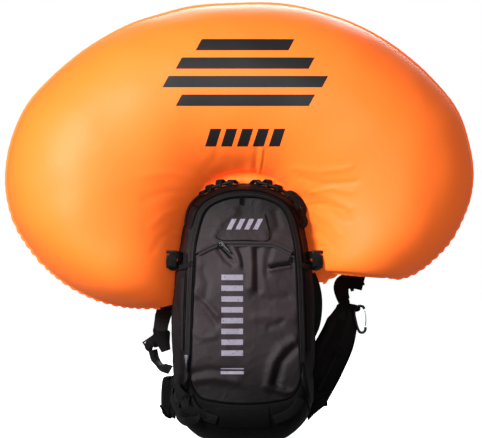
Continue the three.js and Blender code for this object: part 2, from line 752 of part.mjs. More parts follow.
function hipWing(sign) {
  const right = sign > 0;
  const facing = right ? [[0, 1, 0]] : [[-0.6, 1, 0], [-1, 0.1, 0], [-1, -0.3, 0], [-1, -0.7, 0]].map(([x, y, z]) => [-x, -y, z]);
  const width = right ? [124, 108, 92, 72, 28] : [112, 106, 88, 42];
  const pad = strap({ path: WING_ROUTE[sideName(sign)], facing, width, thickness: WING_THICK, steps: 12,
    rounded: true });
  const inside = right ? box(0, WING_HINGE_X, 0, 400, -50, 400) : box(-WING_HINGE_X, 0, 0, WING_Y + 60, -50, 400);
  return cut(pad, inside);
}

const HIP_WEBBING = {
  right: [[236, WING_Y, 315], [231, WING_Y + 5, 331], [231, WING_Y + 24, 346], [238, WING_Y + 36, 355]],
  left: [[-152, WING_Y + 120, 98.5], [-138, WING_Y + 132, 99], [-118, WING_Y + 140, 100], [-100, WING_Y + 142, 100]],
};

function hipWebbing(sign) {
  const facing = sign > 0 ? [[0, 1, 0], [0, 1, 0.2], [0.3, 0.8, 0.5]] : [[1, 0.8, 0], [0.2, 1, 0]];
  return strap({ path: HIP_WEBBING[sideName(sign)], facing, width: sign > 0 ? [26, 34, 36] : 36, thickness: 2.5, steps: 10 });
}

// Side-release buckle: the tongue with two prongs on the right webbing, the socket on the left.
function hipTongue() {
  const bar = box(-20, -12, -4, 4, -19, 19);
  const prong = (z) => box(-14, 16, -3, 3, z - 3, z + 3);
  const guide = box(-14, 12, -2, 2, -3, 3);
  const tongue = join(bar, prong(-12), prong(12), guide);
  return tongue.rotateY(-0.35).translate(266, WING_Y + 42, 357);
}

function hipSocket() {
  const outer = box(-18, 18, -6, 6, -21, 21);
  const mouth = box(-14, 30, -4, 4, -17, 17);
  return cut(outer, mouth).translate(-80, WING_Y + 143, 100);
}

// ---- carabiner on the right wing ----
const CARABINER_Y = WING_Y - WING_THICK / 2 - 5;
const GATE_FOOT = [284.5, 256];
const GATE_HEAD = [282.5, 290];

function carabinerFrame() {
  const path = [[282, 294], [278.5, 299.5], [269.5, 301], [261.5, 296], [258.5, 285], [261.5, 267], [266.5, 249],
    [271.5, 240.5], [278.5, 239.5], [283.5, 244], [284.8, 252]];
  return bar(path.map(([x, z]) => [x, CARABINER_Y, z]), 3, 30, 10);
}

function carabinerGate() {
  const path = [GATE_FOOT, [283.8, 268], [283.1, 279], GATE_HEAD];
  return bar(path.map(([x, z]) => [x, CARABINER_Y, z]), 2, 6, 10);
}

// ---- straps and buckles on the outside ----
const COMPRESSION_KNOT = 6.25;
const onSide = (sign, knot) => (sign > 0 ? knot : SHELL_KNOTS - knot);

function compressionStrap(sign) {
  const route = [0.985, 0.93, 0.84, 0.7, 0.54].map((t) => [onSide(sign, COMPRESSION_KNOT - 0.3 * (t - 0.5)), t]);
  return strapOn(gusset, route, { lift: 3.6, width: 12, steps: 12 });
}

function compressionHook(sign) {
  const [x, y, z] = [sign * 166, -104, 414];
  const plateBody = box(x - 12, x + 12, y - 5, y + 5, z - 20, z + 20);
  const slot = box(x - 7, x + 7, y - 10, y + 10, z - 14, z + 4);
  const mouth = sign < 0 ? box(x - 20, x + 4, y - 10, y + 10, z + 9, z + 13) : box(x - 4, x + 20, y - 10, y + 10, z + 9, z + 13);
  return cut(plateBody, slot, mouth);
}

function hoodStrap(sign) {
  const top = TOP_KNOT - sign * 1.05;
  const low = TOP_KNOT - sign * 2.6;
  const route = [[top, 0.42], [TOP_KNOT - sign * 1.6, 0.42], [TOP_KNOT - sign * 2.1, 0.44], [low, 0.48]];
  return strapOn(gusset, route, { lift: SEAM_GAP, width: 16 });
}

function hoodBuckle(sign) {
  const knot = TOP_KNOT - sign * 0.8;
  const place = gusset(knot, 0.42);
  const normal = outwardNormal(gusset, knot, 0.42);
  const lock = ladderLock(20, 50, 6).rotateY(Math.PI / 2).rotateX(Math.PI / 2);
  const lean = Math.atan2(normal.x, normal.z);
  return lock.rotateY(lean).translate(...place.addScaledVector(normal, 5.5 + SEAM_GAP).toArray());
}

function baseStrap(sign) {
  const route = [[1.0, 0.8], [1.7, 0.83], [2.3, 0.86], [2.8, 0.88]].map(([knot, t]) => [sign * knot, t]);
  return strapOn(gusset, route, { lift: SEAM_GAP, width: 22 });
}

// ---- assembly ----
const pack = new THREE.Group();

function add(name, kind, geometry) {
  const mesh = new THREE.Mesh(geometry, material(kind));
  mesh.name = name;
  pack.add(mesh);
}

add("airbag_front_panel", "airbag", airbagPanel(-1));
add("airbag_rear_panel", "airbag", airbagPanel(1));
add("airbag_collar", "airbag", airbagCollar());

add("front_panel", "fabric", frontPanel());
add("goggle_pocket", "fabric", gogglePocket());
add("top_hood", "fabric", topHood());
add("base_panel", "fabric", basePanel());
add("base_patch", "fabric", basePatch());
add("main_zip", "webbing", mainZip());
add("main_zip_slider", "metal", mainZipSlider());
add("goggle_zip", "webbing", goggleZip());
add("goggle_zip_slider", "metal", goggleZipSlider());

add("back_panel", "foam", backPanel());
add("frame_sheet", "plastic", frameSheet());
add("lumbar_pad", "foam", lumbarPad());
add("haul_loop", "webbing", haulLoop());
add("sternum_buckle", "plastic", sternumBuckle());
add("hip_buckle_tongue", "plastic", hipTongue());
add("hip_buckle_socket", "plastic", hipSocket());
add("carabiner_frame", "dark_metal", carabinerFrame());
add("carabiner_gate", "metal", carabinerGate());

add("trigger_handle", "red_plastic", triggerHandle());
add("trigger_holster", "plastic", triggerHolster());
add("trigger_cable", "plastic", triggerCable());
add("compressor_housing", "plastic", compressorHousing());
add("impeller", "plastic", impeller());
add("fan_motor", "metal", fanMotor());
add("intake_grille", "plastic", intakeGrille());
add("outlet_duct", "airbag", outletDuct());
add("capacitor_pack", "dark_metal", capacitorPack());
add("electronics_case", "plastic", electronicsCase());
add("battery_cover", "plastic", batteryCover());
add("power_button", "red_plastic", powerButton());

for (const sign of [-1, 1]) {
  const side = sideName(sign);
  add(`side_panel_${side}`, "fabric", sidePanel(sign));
  add(`frame_stay_${side}`, "metal", frameStay(sign));
  add(`shoulder_strap_${side}`, "foam", shoulderStrap(sign));
  add(`shoulder_webbing_${side}`, "webbing", shoulderWebbing(sign));
  add(`strap_adjuster_${side}`, "plastic", strapAdjuster(sign));
  add(`load_lifter_${side}`, "webbing", loadLifter(sign));
  add(`sternum_strap_${side}`, "webbing", sternumStrap(sign));
  add(`hip_wing_${side}`, "foam", hipWing(sign));
  add(`hip_webbing_${side}`, "webbing", hipWebbing(sign));
  add(`compression_strap_${side}`, "webbing", compressionStrap(sign));
  add(`compression_hook_${side}`, "plastic", compressionHook(sign));
  add(`hood_strap_${side}`, "webbing", hoodStrap(sign));
  add(`hood_buckle_${side}`, "plastic", hoodBuckle(sign));
}
add("base_strap_left", "webbing", baseStrap(-1));

export default pack;
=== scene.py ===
import math

import bmesh
import bpy
import numpy as np
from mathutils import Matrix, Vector, noise


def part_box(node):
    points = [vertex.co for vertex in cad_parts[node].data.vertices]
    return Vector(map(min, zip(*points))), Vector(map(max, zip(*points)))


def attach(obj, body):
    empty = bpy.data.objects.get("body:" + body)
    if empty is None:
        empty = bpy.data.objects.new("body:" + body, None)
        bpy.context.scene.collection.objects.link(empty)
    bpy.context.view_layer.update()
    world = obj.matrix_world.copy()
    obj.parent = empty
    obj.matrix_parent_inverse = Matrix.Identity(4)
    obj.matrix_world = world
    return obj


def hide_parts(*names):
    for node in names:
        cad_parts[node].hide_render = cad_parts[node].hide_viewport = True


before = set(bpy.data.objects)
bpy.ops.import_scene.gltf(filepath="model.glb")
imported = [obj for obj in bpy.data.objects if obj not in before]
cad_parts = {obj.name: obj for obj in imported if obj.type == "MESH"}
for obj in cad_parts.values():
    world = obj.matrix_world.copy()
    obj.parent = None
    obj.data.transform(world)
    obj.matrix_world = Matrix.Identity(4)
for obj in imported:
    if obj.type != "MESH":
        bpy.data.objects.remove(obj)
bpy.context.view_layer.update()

MM = 0.001
FRONTWARD = np.array([0.0, -1.0, 0.0])
BACKWARD = np.array([0.0, 1.0, 0.0])  # towards the wearer
UPWARD = np.array([0.0, 0.0, 1.0])

# ---- camera ----
CAMERA_DISTANCE = 9.0
CAMERA_TURN = math.radians(-1.2)  # the camera stands a little to the pack's left
CAMERA_RISE = math.radians(0.8)
SENSOR_WIDTH = 36.0
VIEW_WIDTH = 1.1086  # metres across the view at the airbag's mid-plane
LOOK_AT = Vector((-0.006, 0.0, 0.504))


def make_camera():
    data = bpy.data.cameras.new("camera")
    data.sensor_width = SENSOR_WIDTH
    data.lens = SENSOR_WIDTH * CAMERA_DISTANCE / VIEW_WIDTH
    camera = bpy.data.objects.new("camera", data)
    flat = math.cos(CAMERA_RISE) * CAMERA_DISTANCE
    away = Vector((math.sin(CAMERA_TURN) * flat, -math.cos(CAMERA_TURN) * flat,
                   math.sin(CAMERA_RISE) * CAMERA_DISTANCE))
    camera.location = LOOK_AT + away
    camera.rotation_euler = (-away).to_track_quat("-Z", "Y").to_euler()
    bpy.context.scene.collection.objects.link(camera)
    bpy.context.scene.camera = camera


make_camera()

# ---- the shell's shape: the frame's, but rounder at the base's corners ----
BACK_Y = 60 * MM
PACK_DEPTH = 196 * MM
FRONT_CROWN = 12 * MM  # how far the front bows out between its side edges
FRONT_HALF = 130 * MM
HOOD_LEAN = 40 * MM  # how far the front leans back towards the hood
FOOT_TUCK = 14 * MM  # how far it is drawn in at the foot
CORNER_POWER = 2.6
# Half outlines from bottom centre to top centre, in mm: [back x, back z, front x, front z].
SHELL_PAIRS = np.array([
    [0, -14, 0, 88], [68, -12, 60, 92], [121, 15, 104, 104], [153, 60, 124, 140], [162, 150, 123, 215],
    [166, 265, 119, 307], [161, 365, 115, 400], [149, 450, 108, 468], [125, 538, 86, 528], [66, 578, 48, 550],
    [0, 590, 0, 556]]) * MM
SHELL_KNOTS = 2 * (len(SHELL_PAIRS) - 1)
TOP_KNOT = SHELL_KNOTS // 2
# Airbag outline in mm, left tip over the top to the right tip: [outer x, outer z, inner x, inner z].
AIRBAG_PAIRS = np.array([
    [-178, 300, -173, 304], [-290, 307, -171, 335], [-393, 349, -168, 368], [-470, 415, -162, 408],
    [-528, 505, -156, 452], [-545, 615, -149, 497], [-508, 742, -131, 545], [-410, 852, -97, 577],
    [-266, 945, -57, 600], [-98, 990, -18, 609], [82, 993, 18, 609], [254, 951, 57, 600],
    [397, 858, 97, 577], [489, 748, 131, 545], [523, 620, 149, 497], [505, 515, 155, 456],
    [454, 430, 160, 424], [370, 371, 165, 400], [232, 384, 169, 382], [176, 353, 171, 357]]) * MM
AIRBAG_RADIUS = 185 * MM
PRESS_IN = 15 * MM  # how far the pack presses the airbag's inner side in
PRESS_CENTRE = np.array([0, 0.330])  # (x, z) of the pack's middle, which the airbag is pressed towards


def smoothstep(low, high, value):
    t = np.clip((np.asarray(value, float) - low) / (high - low), 0, 1)
    return t * t * (3 - 2 * t)


class Spline:
    """Centripetal Catmull-Rom curve; t runs 0 to 1 with equal shares between points."""

    def __init__(self, points, closed=False):
        points = np.asarray(points, float)
        if closed:
            ring = np.vstack([points[-1:], points, points[:2]])
        else:
            ring = np.vstack([2 * points[:1] - points[1:2], points, 2 * points[-1:] - points[-2:-1]])
        self.closed = closed
        self.coefficients = []
        for p0, p1, p2, p3 in zip(ring, ring[1:], ring[2:], ring[3:]):
            steps = [max(np.linalg.norm(b - a) ** 0.5, 1e-9) for a, b in ((p0, p1), (p1, p2), (p2, p3))]
            d0, d1, d2 = steps
            t1 = ((p1 - p0) / d0 - (p2 - p0) / (d0 + d1) + (p2 - p1) / d1) * d1
            t2 = ((p2 - p1) / d1 - (p3 - p1) / (d1 + d2) + (p3 - p2) / d2) * d1
            self.coefficients.append((p1, t1, -3 * p1 + 3 * p2 - 2 * t1 - t2, 2 * p1 - 2 * p2 + t1 + t2))
        self.coefficients = np.array(self.coefficients)

    def __call__(self, t):
        t = np.asarray(t, float)
        count = len(self.coefficients)
        if self.closed:
            t = t - np.floor(t)
        at = np.clip(t * count, 0, count - 1e-9)
        index = at.astype(int)
        w = (at - index)[..., None]
        c = self.coefficients[index]
        return c[..., 0, :] + w * (c[..., 1, :] + w * (c[..., 2, :] + w * c[..., 3, :]))


def mirrored(columns):
    right = SHELL_PAIRS[:, columns]
    left = right[-2:0:-1] * [-1, 1]
    return Spline(np.vstack([right, left]), closed=True)


back_outline = mirrored([0, 1])
front_outline = mirrored([2, 3])


def front_y(x, z):
    lean = HOOD_LEAN * smoothstep(0.380, 0.580, z)
    tuck = FOOT_TUCK * (1 - smoothstep(0.060, 0.200, z))
    return BACK_Y - PACK_DEPTH + lean + tuck - FRONT_CROWN * (1 - (x / FRONT_HALF) ** 2)


def gusset(knot, t):
    """The wall between the back outline (t = 0) and the front outline (t = 1)."""
    back = back_outline(knot / SHELL_KNOTS)
    front = front_outline(knot / SHELL_KNOTS)
    across = (1 - np.cos(t * np.pi / 2).clip(0) ** (2 / CORNER_POWER))[..., None]
    forward = np.sin(t * np.pi / 2).clip(0) ** (2 / CORNER_POWER)
    flat = back + (front - back) * across
    y = BACK_Y + (front_y(front[..., 0], front[..., 1]) - BACK_Y) * forward
    return np.stack([flat[..., 0], y, np.maximum(flat[..., 1], 0)], axis=-1)


# ---- mesh helpers ----
def link(obj):
    bpy.context.scene.collection.objects.link(obj)
    return obj


def mesh_object(name, points, faces, material, uv=None):
    mesh = bpy.data.meshes.new(name)
    mesh.from_pydata([tuple(p) for p in np.asarray(points, float)], [], [list(f) for f in faces])
    mesh.update()
    if uv is not None:
        layer = mesh.uv_layers.new(name="UVMap")
        loops = np.zeros(len(mesh.loops), int)
        mesh.loops.foreach_get("vertex_index", loops)
        layer.data.foreach_set("uv", np.asarray(uv, float)[loops].ravel())
    mesh.polygons.foreach_set("use_smooth", [True] * len(mesh.polygons))
    mesh.materials.append(material)
    return link(bpy.data.objects.new(name, mesh))


def outward(obj):
    """Turns all faces of a closed mesh to look out."""
    work = bmesh.new()
    work.from_mesh(obj.data)
    bmesh.ops.remove_doubles(work, verts=work.verts, dist=1e-6)
    bmesh.ops.recalc_face_normals(work, faces=work.faces)
    work.to_mesh(obj.data)
    work.free()
    return obj


def unit(vectors):
    return vectors / np.linalg.norm(vectors, axis=-1, keepdims=True)


def run_length(path):
    """The distance along a path at each of its points."""
    return np.concatenate([[0], np.cumsum(np.linalg.norm(np.diff(path, axis=0), axis=1))])


def from_ends(count):
    """For each of count points, its share of the way from the nearer end."""
    return np.minimum(np.linspace(0, 1, count), np.linspace(1, 0, count))


def table_at(at, known, rows):
    """Rows of numbers that are given at known places, read off at other places."""
    return np.stack([np.interp(at, known, column) for column in rows.T], axis=-1)


def grid_normals(grid):
    normal = np.cross(np.gradient(grid, axis=0), np.gradient(grid, axis=1))
    return normal / np.maximum(np.linalg.norm(normal, axis=-1, keepdims=True), 1e-12)


def turned_out(normal, points, centre):
    """The normals, turned round where they point towards the centre."""
    flip = np.sign((normal * (points - np.asarray(centre))).sum(-1, keepdims=True))
    return normal * np.where(flip == 0, 1, flip)


def fractal(points, scale, octaves=3, seed=0.0):
    """Smooth noise at each point, about -1 to 1."""
    flat = np.asarray(points, float).reshape(-1, 3) / scale
    out = [noise.fractal(Vector((p[0] + seed, p[1], p[2] - seed)), 1.0, 2.0, octaves) for p in flat]
    return np.array(out).reshape(np.asarray(points).shape[:-1])


def shell_from_grid(name, grid, normal, thickness, material):
    """A closed sheet whose outer side is the grid."""
    nu, nv = grid.shape[:2]
    points = np.concatenate([grid.reshape(-1, 3), (grid - normal * thickness).reshape(-1, 3)])
    half = nu * nv
    faces = []
    for i in range(nu - 1):
        for j in range(nv - 1):
            a = i * nv + j
            b = a + nv
            faces.append((a, b, b + 1, a + 1))
            faces.append((half + a, half + a + 1, half + b + 1, half + b))
    rim = [*range(0, half - nv, nv), *range(half - nv, half - 1), *range(half - 1, nv - 1, -nv),
           *range(nv - 1, 0, -1)]
    faces += [(a, half + a, half + b, b) for a, b in zip(rim, rim[1:] + rim[:1])]
    return outward(mesh_object(name, points, faces, material))


def frames_along(path, facing):
    """Tangent, side and up vectors at each point of a path; facing is what up leans towards."""
    tangent = unit(np.gradient(path, axis=0))
    up = unit(facing - tangent * (facing * tangent).sum(1, keepdims=True))
    return tangent, np.cross(tangent, up), up


def resample(points, count):
    """A smooth curve through the points, at equal steps of length."""
    curve = Spline(points)(np.linspace(0, 1, max(400, 4 * count)))
    length = run_length(curve)
    return table_at(np.linspace(0, length[-1], count), length, curve)


def spread(values, count):
    """Values given at equal shares of the length, for each of count points."""
    values = np.asarray(values, float)
    if values.ndim == 0:
        return np.full(count, float(values))
    at, known = np.linspace(0, 1, count), np.linspace(0, 1, len(values))
    return np.interp(at, known, values) if values.ndim == 1 else table_at(at, known, values)


def ring_faces(count, sides, closed=False):
    """The faces of a tube of rings, with flat ends unless it closes on itself."""
    faces = []
    for i in range(count if closed else count - 1):
        k = (i + 1) % count
        for j in range(sides):
            n = (j + 1) % sides
            faces.append((i * sides + j, k * sides + j, k * sides + n, i * sides + n))
    if not closed:
        faces.append(tuple(range(sides)))
        faces.append(tuple((count - 1) * sides + j for j in reversed(range(sides))))
    return faces


def swept(name, path, facing, section, material, scale_side=None, scale_up=None, closed=False):
    """A section of (side, up) points swept along a path, with flat ends."""
    path = np.asarray(path, float)
    count = len(path)
    sides = len(section)
    section = np.asarray(section, float)
    _, side, up = frames_along(path, np.broadcast_to(np.asarray(facing, float), path.shape))
    wide = np.ones(count) if scale_side is None else scale_side
    thick = np.ones(count) if scale_up is None else scale_up
    rings = (path[:, None] + side[:, None] * (section[None, :, :1] * wide[:, None, None])
             + up[:, None] * (section[None, :, 1:] * thick[:, None, None]))
    u = np.tile(section[:, 0], count) * np.repeat(wide, sides)
    uv = np.stack([u, np.repeat(run_length(path), sides)], axis=1)
    faces = ring_faces(count, sides, closed)
    return outward(mesh_object(name, rings.reshape(-1, 3), faces, material, uv=uv))


def rounded_section(width, thickness, corner, steps=3):
    """A flat rectangle with round corners, as (side, up) points."""
    points = []
    for sx, sy, start in ((1, 1, 0), (-1, 1, 90), (-1, -1, 180), (1, -1, 270)):
        for k in range(steps + 1):
            angle = math.radians(start + 90 * k / steps)
            points.append((sx * (width / 2 - corner) + corner * math.cos(angle),
                           sy * (thickness / 2 - corner) + corner * math.sin(angle)))
    return points


def oval_section(half_wide, half_thick, sides, wide_power=1.0, thick_power=1.0):
    """An ellipse as (side, up) points; powers under 1 square it off."""
    def bulge(value, power):
        return math.copysign(abs(value) ** power, value)
    angles = [2 * math.pi * k / sides for k in range(sides)]
    return [(half_wide * bulge(math.cos(a), wide_power), half_thick * bulge(math.sin(a), thick_power))
            for a in angles]


TUBE_FACING = (0.13, 0.31, 0.94)  # a slanting direction, along which no tube runs


def tube(name, path, radius, material, sides=10, closed=False):
    return swept(name, path, TUBE_FACING, oval_section(radius, radius, sides), material, closed=closed)


def join(name, pieces):
    """One object from several, keeping their materials."""
    bpy.ops.object.select_all(action="DESELECT")
    for piece in pieces:
        piece.select_set(True)
    bpy.context.view_layer.objects.active = pieces[0]
    bpy.ops.object.join()
    pieces[0].name = name
    pieces[0].data.name = name
    return pieces[0]


def settle(obj, body, slot, *nodes):
    """Gives a piece its body and hides the CAD nodes it stands for; its slot, the finish, is not used."""
    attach(obj, body)
    if nodes:
        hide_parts(*nodes)
    return obj


def refined(node, material, slot, body="pack", bevel=0.0008, segments=2):
    """A CAD part of the right shape, with rounded edges in place of its sharp ones."""
    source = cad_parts[node]
    mesh = source.data.copy()
    mesh.materials.clear()
    mesh.materials.append(material)
    obj = link(bpy.data.objects.new(node + "_finished", mesh))
    work = bmesh.new()
    work.from_mesh(mesh)
    bmesh.ops.remove_doubles(work, verts=work.verts, dist=2e-5)
    bmesh.ops.dissolve_limit(work, angle_limit=math.radians(4), verts=work.verts, edges=work.edges)
    sharp = [e for e in work.edges if e.is_manifold and e.calc_face_angle(0) > math.radians(28)]
    bmesh.ops.bevel(work, geom=sharp, offset=bevel, offset_type="OFFSET", segments=segments, profile=0.6,
                    affect="EDGES", clamp_overlap=True)
    bmesh.ops.recalc_face_normals(work, faces=work.faces)
    work.to_mesh(mesh)
    work.free()
    mesh.polygons.foreach_set("use_smooth", [True] * len(mesh.polygons))
    mesh.set_sharp_from_angle(angle=math.radians(50))
    return settle(obj, body, slot, node)


# ---- materials ----
class Shader:
    """A small helper for building a node material."""

    def __init__(self, name):
        self.material = bpy.data.materials.new(name)
        self.material.use_nodes = True
        self.tree = self.material.node_tree
        self.surface = self.tree.nodes["Principled BSDF"]

    def node(self, kind, **settings):
        made = self.tree.nodes.new(kind)
        for key, value in settings.items():
            if key.startswith("in_"):
                made.inputs[key[3:].replace("_", " ")].default_value = value
            else:
                setattr(made, key, value)
        return made

    def wire(self, source, target):
        self.tree.links.new(source, target)

    def math(self, operation, a, b=0.0, clamp=False):
        made = self.tree.nodes.new("ShaderNodeMath")
        made.operation = operation
        made.use_clamp = clamp
        for socket, value in zip(made.inputs, (a, b)):
            if hasattr(value, "links"):
                self.wire(value, socket)
            else:
                socket.default_value = value
        return made.outputs[0]

    def place(self, uv=False):
        coordinates = self.node("ShaderNodeTexCoord")
        socket = coordinates.outputs["UV" if uv else "Object"]
        split = self.node("ShaderNodeSeparateXYZ")
        self.wire(socket, split.inputs[0])
        return socket, split.outputs

    def noise(self, vector, scale, detail=3.0, rough=0.55):
        made = self.node("ShaderNodeTexNoise", in_Scale=scale, in_Detail=detail, in_Roughness=rough)
        self.wire(vector, made.inputs["Vector"])
        return made.outputs["Fac"]

    def wave(self, place, pitch):
        return self.math("SINE", self.math("MULTIPLY", place, 2 * math.pi / pitch))

    def rough_between(self, factor, low, high):
        span = self.node("ShaderNodeMapRange", in_To_Min=low, in_To_Max=high)
        self.wire(factor, span.inputs["Value"])
        self.wire(span.outputs[0], self.surface.inputs["Roughness"])

    def ramp(self, factor, stops):
        made = self.node("ShaderNodeValToRGB")
        ramp = made.color_ramp
        while len(ramp.elements) < len(stops):
            ramp.elements.new(0.5)
        for element, (position, colour) in zip(ramp.elements, stops):
            element.position = position
            element.color = (*colour, 1)
        self.wire(factor, made.inputs["Fac"])
        return made.outputs["Color"]

    def mix(self, factor, a, b):
        made = self.node("ShaderNodeMix", data_type="RGBA")
        for socket, value in zip((made.inputs["Factor"], made.inputs[6], made.inputs[7]), (factor, a, b)):
            if hasattr(value, "links"):
                self.wire(value, socket)
            elif isinstance(value, tuple):
                socket.default_value = (*value, 1)
            else:
                socket.default_value = value
        return made.outputs[2]

    def colour(self, socket):
        self.wire(socket, self.surface.inputs["Base Color"])

    def bump(self, heights, strength, distance):
        """Adds relief from a socket of heights, on top of any that is there already."""
        made = self.node("ShaderNodeBump", in_Strength=strength, in_Distance=distance)
        self.wire(heights, made.inputs["Height"])
        previous = self.surface.inputs["Normal"].links
        if previous:
            self.wire(previous[0].from_socket, made.inputs["Normal"])
        self.wire(made.outputs["Normal"], self.surface.inputs["Normal"])

    def set(self, **values):
        for key, value in values.items():
            self.surface.inputs[key.replace("_", " ")].default_value = value


def shade(colour, factor):
    return tuple(c * factor for c in colour)


THREAD_PITCH = 1.1 * MM
FOOT_DARK_TOP, FOOT_DARK_SPAN = 0.270, 0.150  # painted shade: the cloth is coloured darker downwards from this height, over this span
CROWN_DARK_FOOT, CROWN_DARK_SPAN = 0.440, 0.110  # and upwards to the crown of the hood


def painted_shade_mask(shader, z):
    """1 at the pack's foot and on the hood's crown, and 0 between: where painted shade darkens the cloth."""
    below = shader.math("SUBTRACT", FOOT_DARK_TOP, z)
    above = shader.math("SUBTRACT", z, CROWN_DARK_FOOT)
    foot = shader.math("MULTIPLY", below, 1 / FOOT_DARK_SPAN, clamp=True)
    crown = shader.math("MULTIPLY", above, 1 / CROWN_DARK_SPAN, clamp=True)
    return shader.math("ADD", foot, crown, clamp=True)


def pack_shader(name, tint, roughness, gloss):
    """Coated high-tenacity nylon: a plain weave, small colour drift, and painted shade that darkens its foot
    and crown.
    """
    shader = Shader(name)
    vector, (x, y, z) = shader.place()
    across = shader.math("ADD", x, shader.math("MULTIPLY", y, 0.83))
    along = shader.math("ADD", z, shader.math("MULTIPLY", y, 0.37))
    drift = shader.noise(vector, 14.0, 4.0)
    base = shader.ramp(drift, [(0.3, shade(tint, 0.72)), (0.7, shade(tint, 1.3))])
    fuzz = shader.math("MULTIPLY", shader.noise(vector, 900.0, 2.0), 0.35)
    fibres = shader.mix(fuzz, base, shade(tint, 2.0))
    # painted shade: the colour is darkened towards the foot, where the light falls off, and towards the
    # hood's crown
    painted_shade = shader.math("MULTIPLY", painted_shade_mask(shader, z), 0.92)
    shader.colour(shader.mix(painted_shade, fibres, shade(tint, 0.16)))
    shader.set(Roughness=roughness, Specular_IOR_Level=gloss, Sheen_Weight=0.01, Sheen_Roughness=0.5,
               Sheen_Tint=(0.9, 0.85, 0.9, 1))
    shader.bump(shader.noise(vector, 55.0, 4.0), 0.16, 0.002)
    threads = shader.math("MULTIPLY", shader.wave(across, THREAD_PITCH), shader.wave(along, THREAD_PITCH))
    shader.bump(threads, 0.35, 0.00025)
    return shader


def pack_fabric(name, tint, roughness=0.62, gloss=0.10):
    return pack_shader(name, tint, roughness, gloss).material


def webbing_material():
    """Woven polyester webbing: ribs across the strap and a herringbone of fine threads."""
    shader = Shader("webbing")
    _, (u, v, _) = shader.place(uv=True)
    vector, _ = shader.place()
    twill = shader.wave(shader.math("ADD", v, shader.math("PINGPONG", u, 3 * MM)), 1.6 * MM)
    ribs = shader.math("ADD", shader.wave(v, 2.2 * MM), shader.math("MULTIPLY", twill, 0.6))
    drift = shader.noise(vector, 40.0)
    shader.colour(shader.ramp(drift, [(0.3, (0.0022, 0.0020, 0.0022)), (0.75, (0.0052, 0.0044, 0.0048))]))
    shader.set(Roughness=0.6, Specular_IOR_Level=0.10, Sheen_Weight=0.02)
    shader.bump(ribs, 0.6, 0.0004)
    return shader.material


def plastic_material(name, colour, roughness=0.42):
    """Moulded acetal: fine grain, a little gloss and dusty scuffs."""
    shader = Shader(name)
    vector, _ = shader.place()
    scuff = shader.noise(vector, 90.0, 5.0, 0.7)
    dusty = tuple(min(1, c * 1.8 + 0.002) for c in colour)
    shader.colour(shader.ramp(scuff, [(0.45, colour), (0.8, dusty)]))
    shader.rough_between(scuff, roughness - 0.08, roughness + 0.16)
    shader.set(Specular_IOR_Level=0.18)
    shader.bump(shader.noise(vector, 1400.0, 2.0), 0.18, 0.0002)
    return shader.material


def metal_material(name, colour, roughness):
    """Bare or anodised metal with fine scratches."""
    shader = Shader(name)
    vector, _ = shader.place()
    scratches = shader.noise(vector, 600.0, 4.0, 0.7)
    shader.colour(shader.ramp(scratches, [(0.35, shade(colour, 0.8)), (0.7, colour)]))
    shader.rough_between(scratches, roughness * 0.7, roughness * 1.4)
    shader.set(Metallic=1.0)
    shader.bump(scratches, 0.1, 0.0001)
    return shader.material


def spacer_mesh(name, tint):
    """Breathable spacer mesh over foam: rows of small round holes."""
    shader = Shader(name)
    vector, _ = shader.place()
    cell = shader.node("ShaderNodeTexVoronoi", feature="DISTANCE_TO_EDGE", in_Scale=330.0, in_Randomness=0.25)
    shader.wire(vector, cell.inputs["Vector"])
    holes = shader.math("MULTIPLY", cell.outputs["Distance"], 3.0, clamp=True)
    shader.colour(shader.ramp(holes, [(0.1, shade(tint, 1.9)), (0.6, shade(tint, 0.45))]))
    shader.set(Roughness=0.85, Specular_IOR_Level=0.25, Sheen_Weight=0.3)
    shader.bump(holes, 0.5, -0.0008)
    shader.bump(shader.noise(vector, 30.0), 0.3, 0.002)
    return shader.material


def bars_mask(shader, x, z, bars):
    """1 inside any bar, each given as (centre x, centre z, half width, half height, slant), and 0 outside."""
    ink = None
    for centre_x, centre_z, half_width, half_height, slant in bars:
        dz = shader.math("SUBTRACT", z, centre_z)
        dx = shader.math("SUBTRACT", shader.math("SUBTRACT", x, centre_x), shader.math("MULTIPLY", dz, slant))
        wide = shader.math("LESS_THAN", shader.math("ABSOLUTE", dx), half_width)
        tall = shader.math("LESS_THAN", shader.math("ABSOLUTE", dz), half_height)
        bar = shader.math("MULTIPLY", wide, tall)
        ink = bar if ink is None else shader.math("MAXIMUM", ink, bar)
    return ink


AIRBAG_TINT = (0.93, 0.168, 0.018)
# painted glow: the airbag's emission colour, which stands in for light shining through the nylon
AIRBAG_PAINTED_GLOW = (1.0, 0.130, 0.018)
BLACK_INK = (0.010, 0.009, 0.009)
RIPSTOP_CELL = 3 * MM
AIRBAG_BARS = [(0.0, level, half_width, 0.013, 0.55)
               for level, half_width in ((0.900, 0.105), (0.858, 0.150), (0.816, 0.180), (0.774, 0.150))]
AIRBAG_BARS += [(-0.072 + 0.036 * step, 0.690, 0.0125, 0.020, 0.30) for step in range(5)]


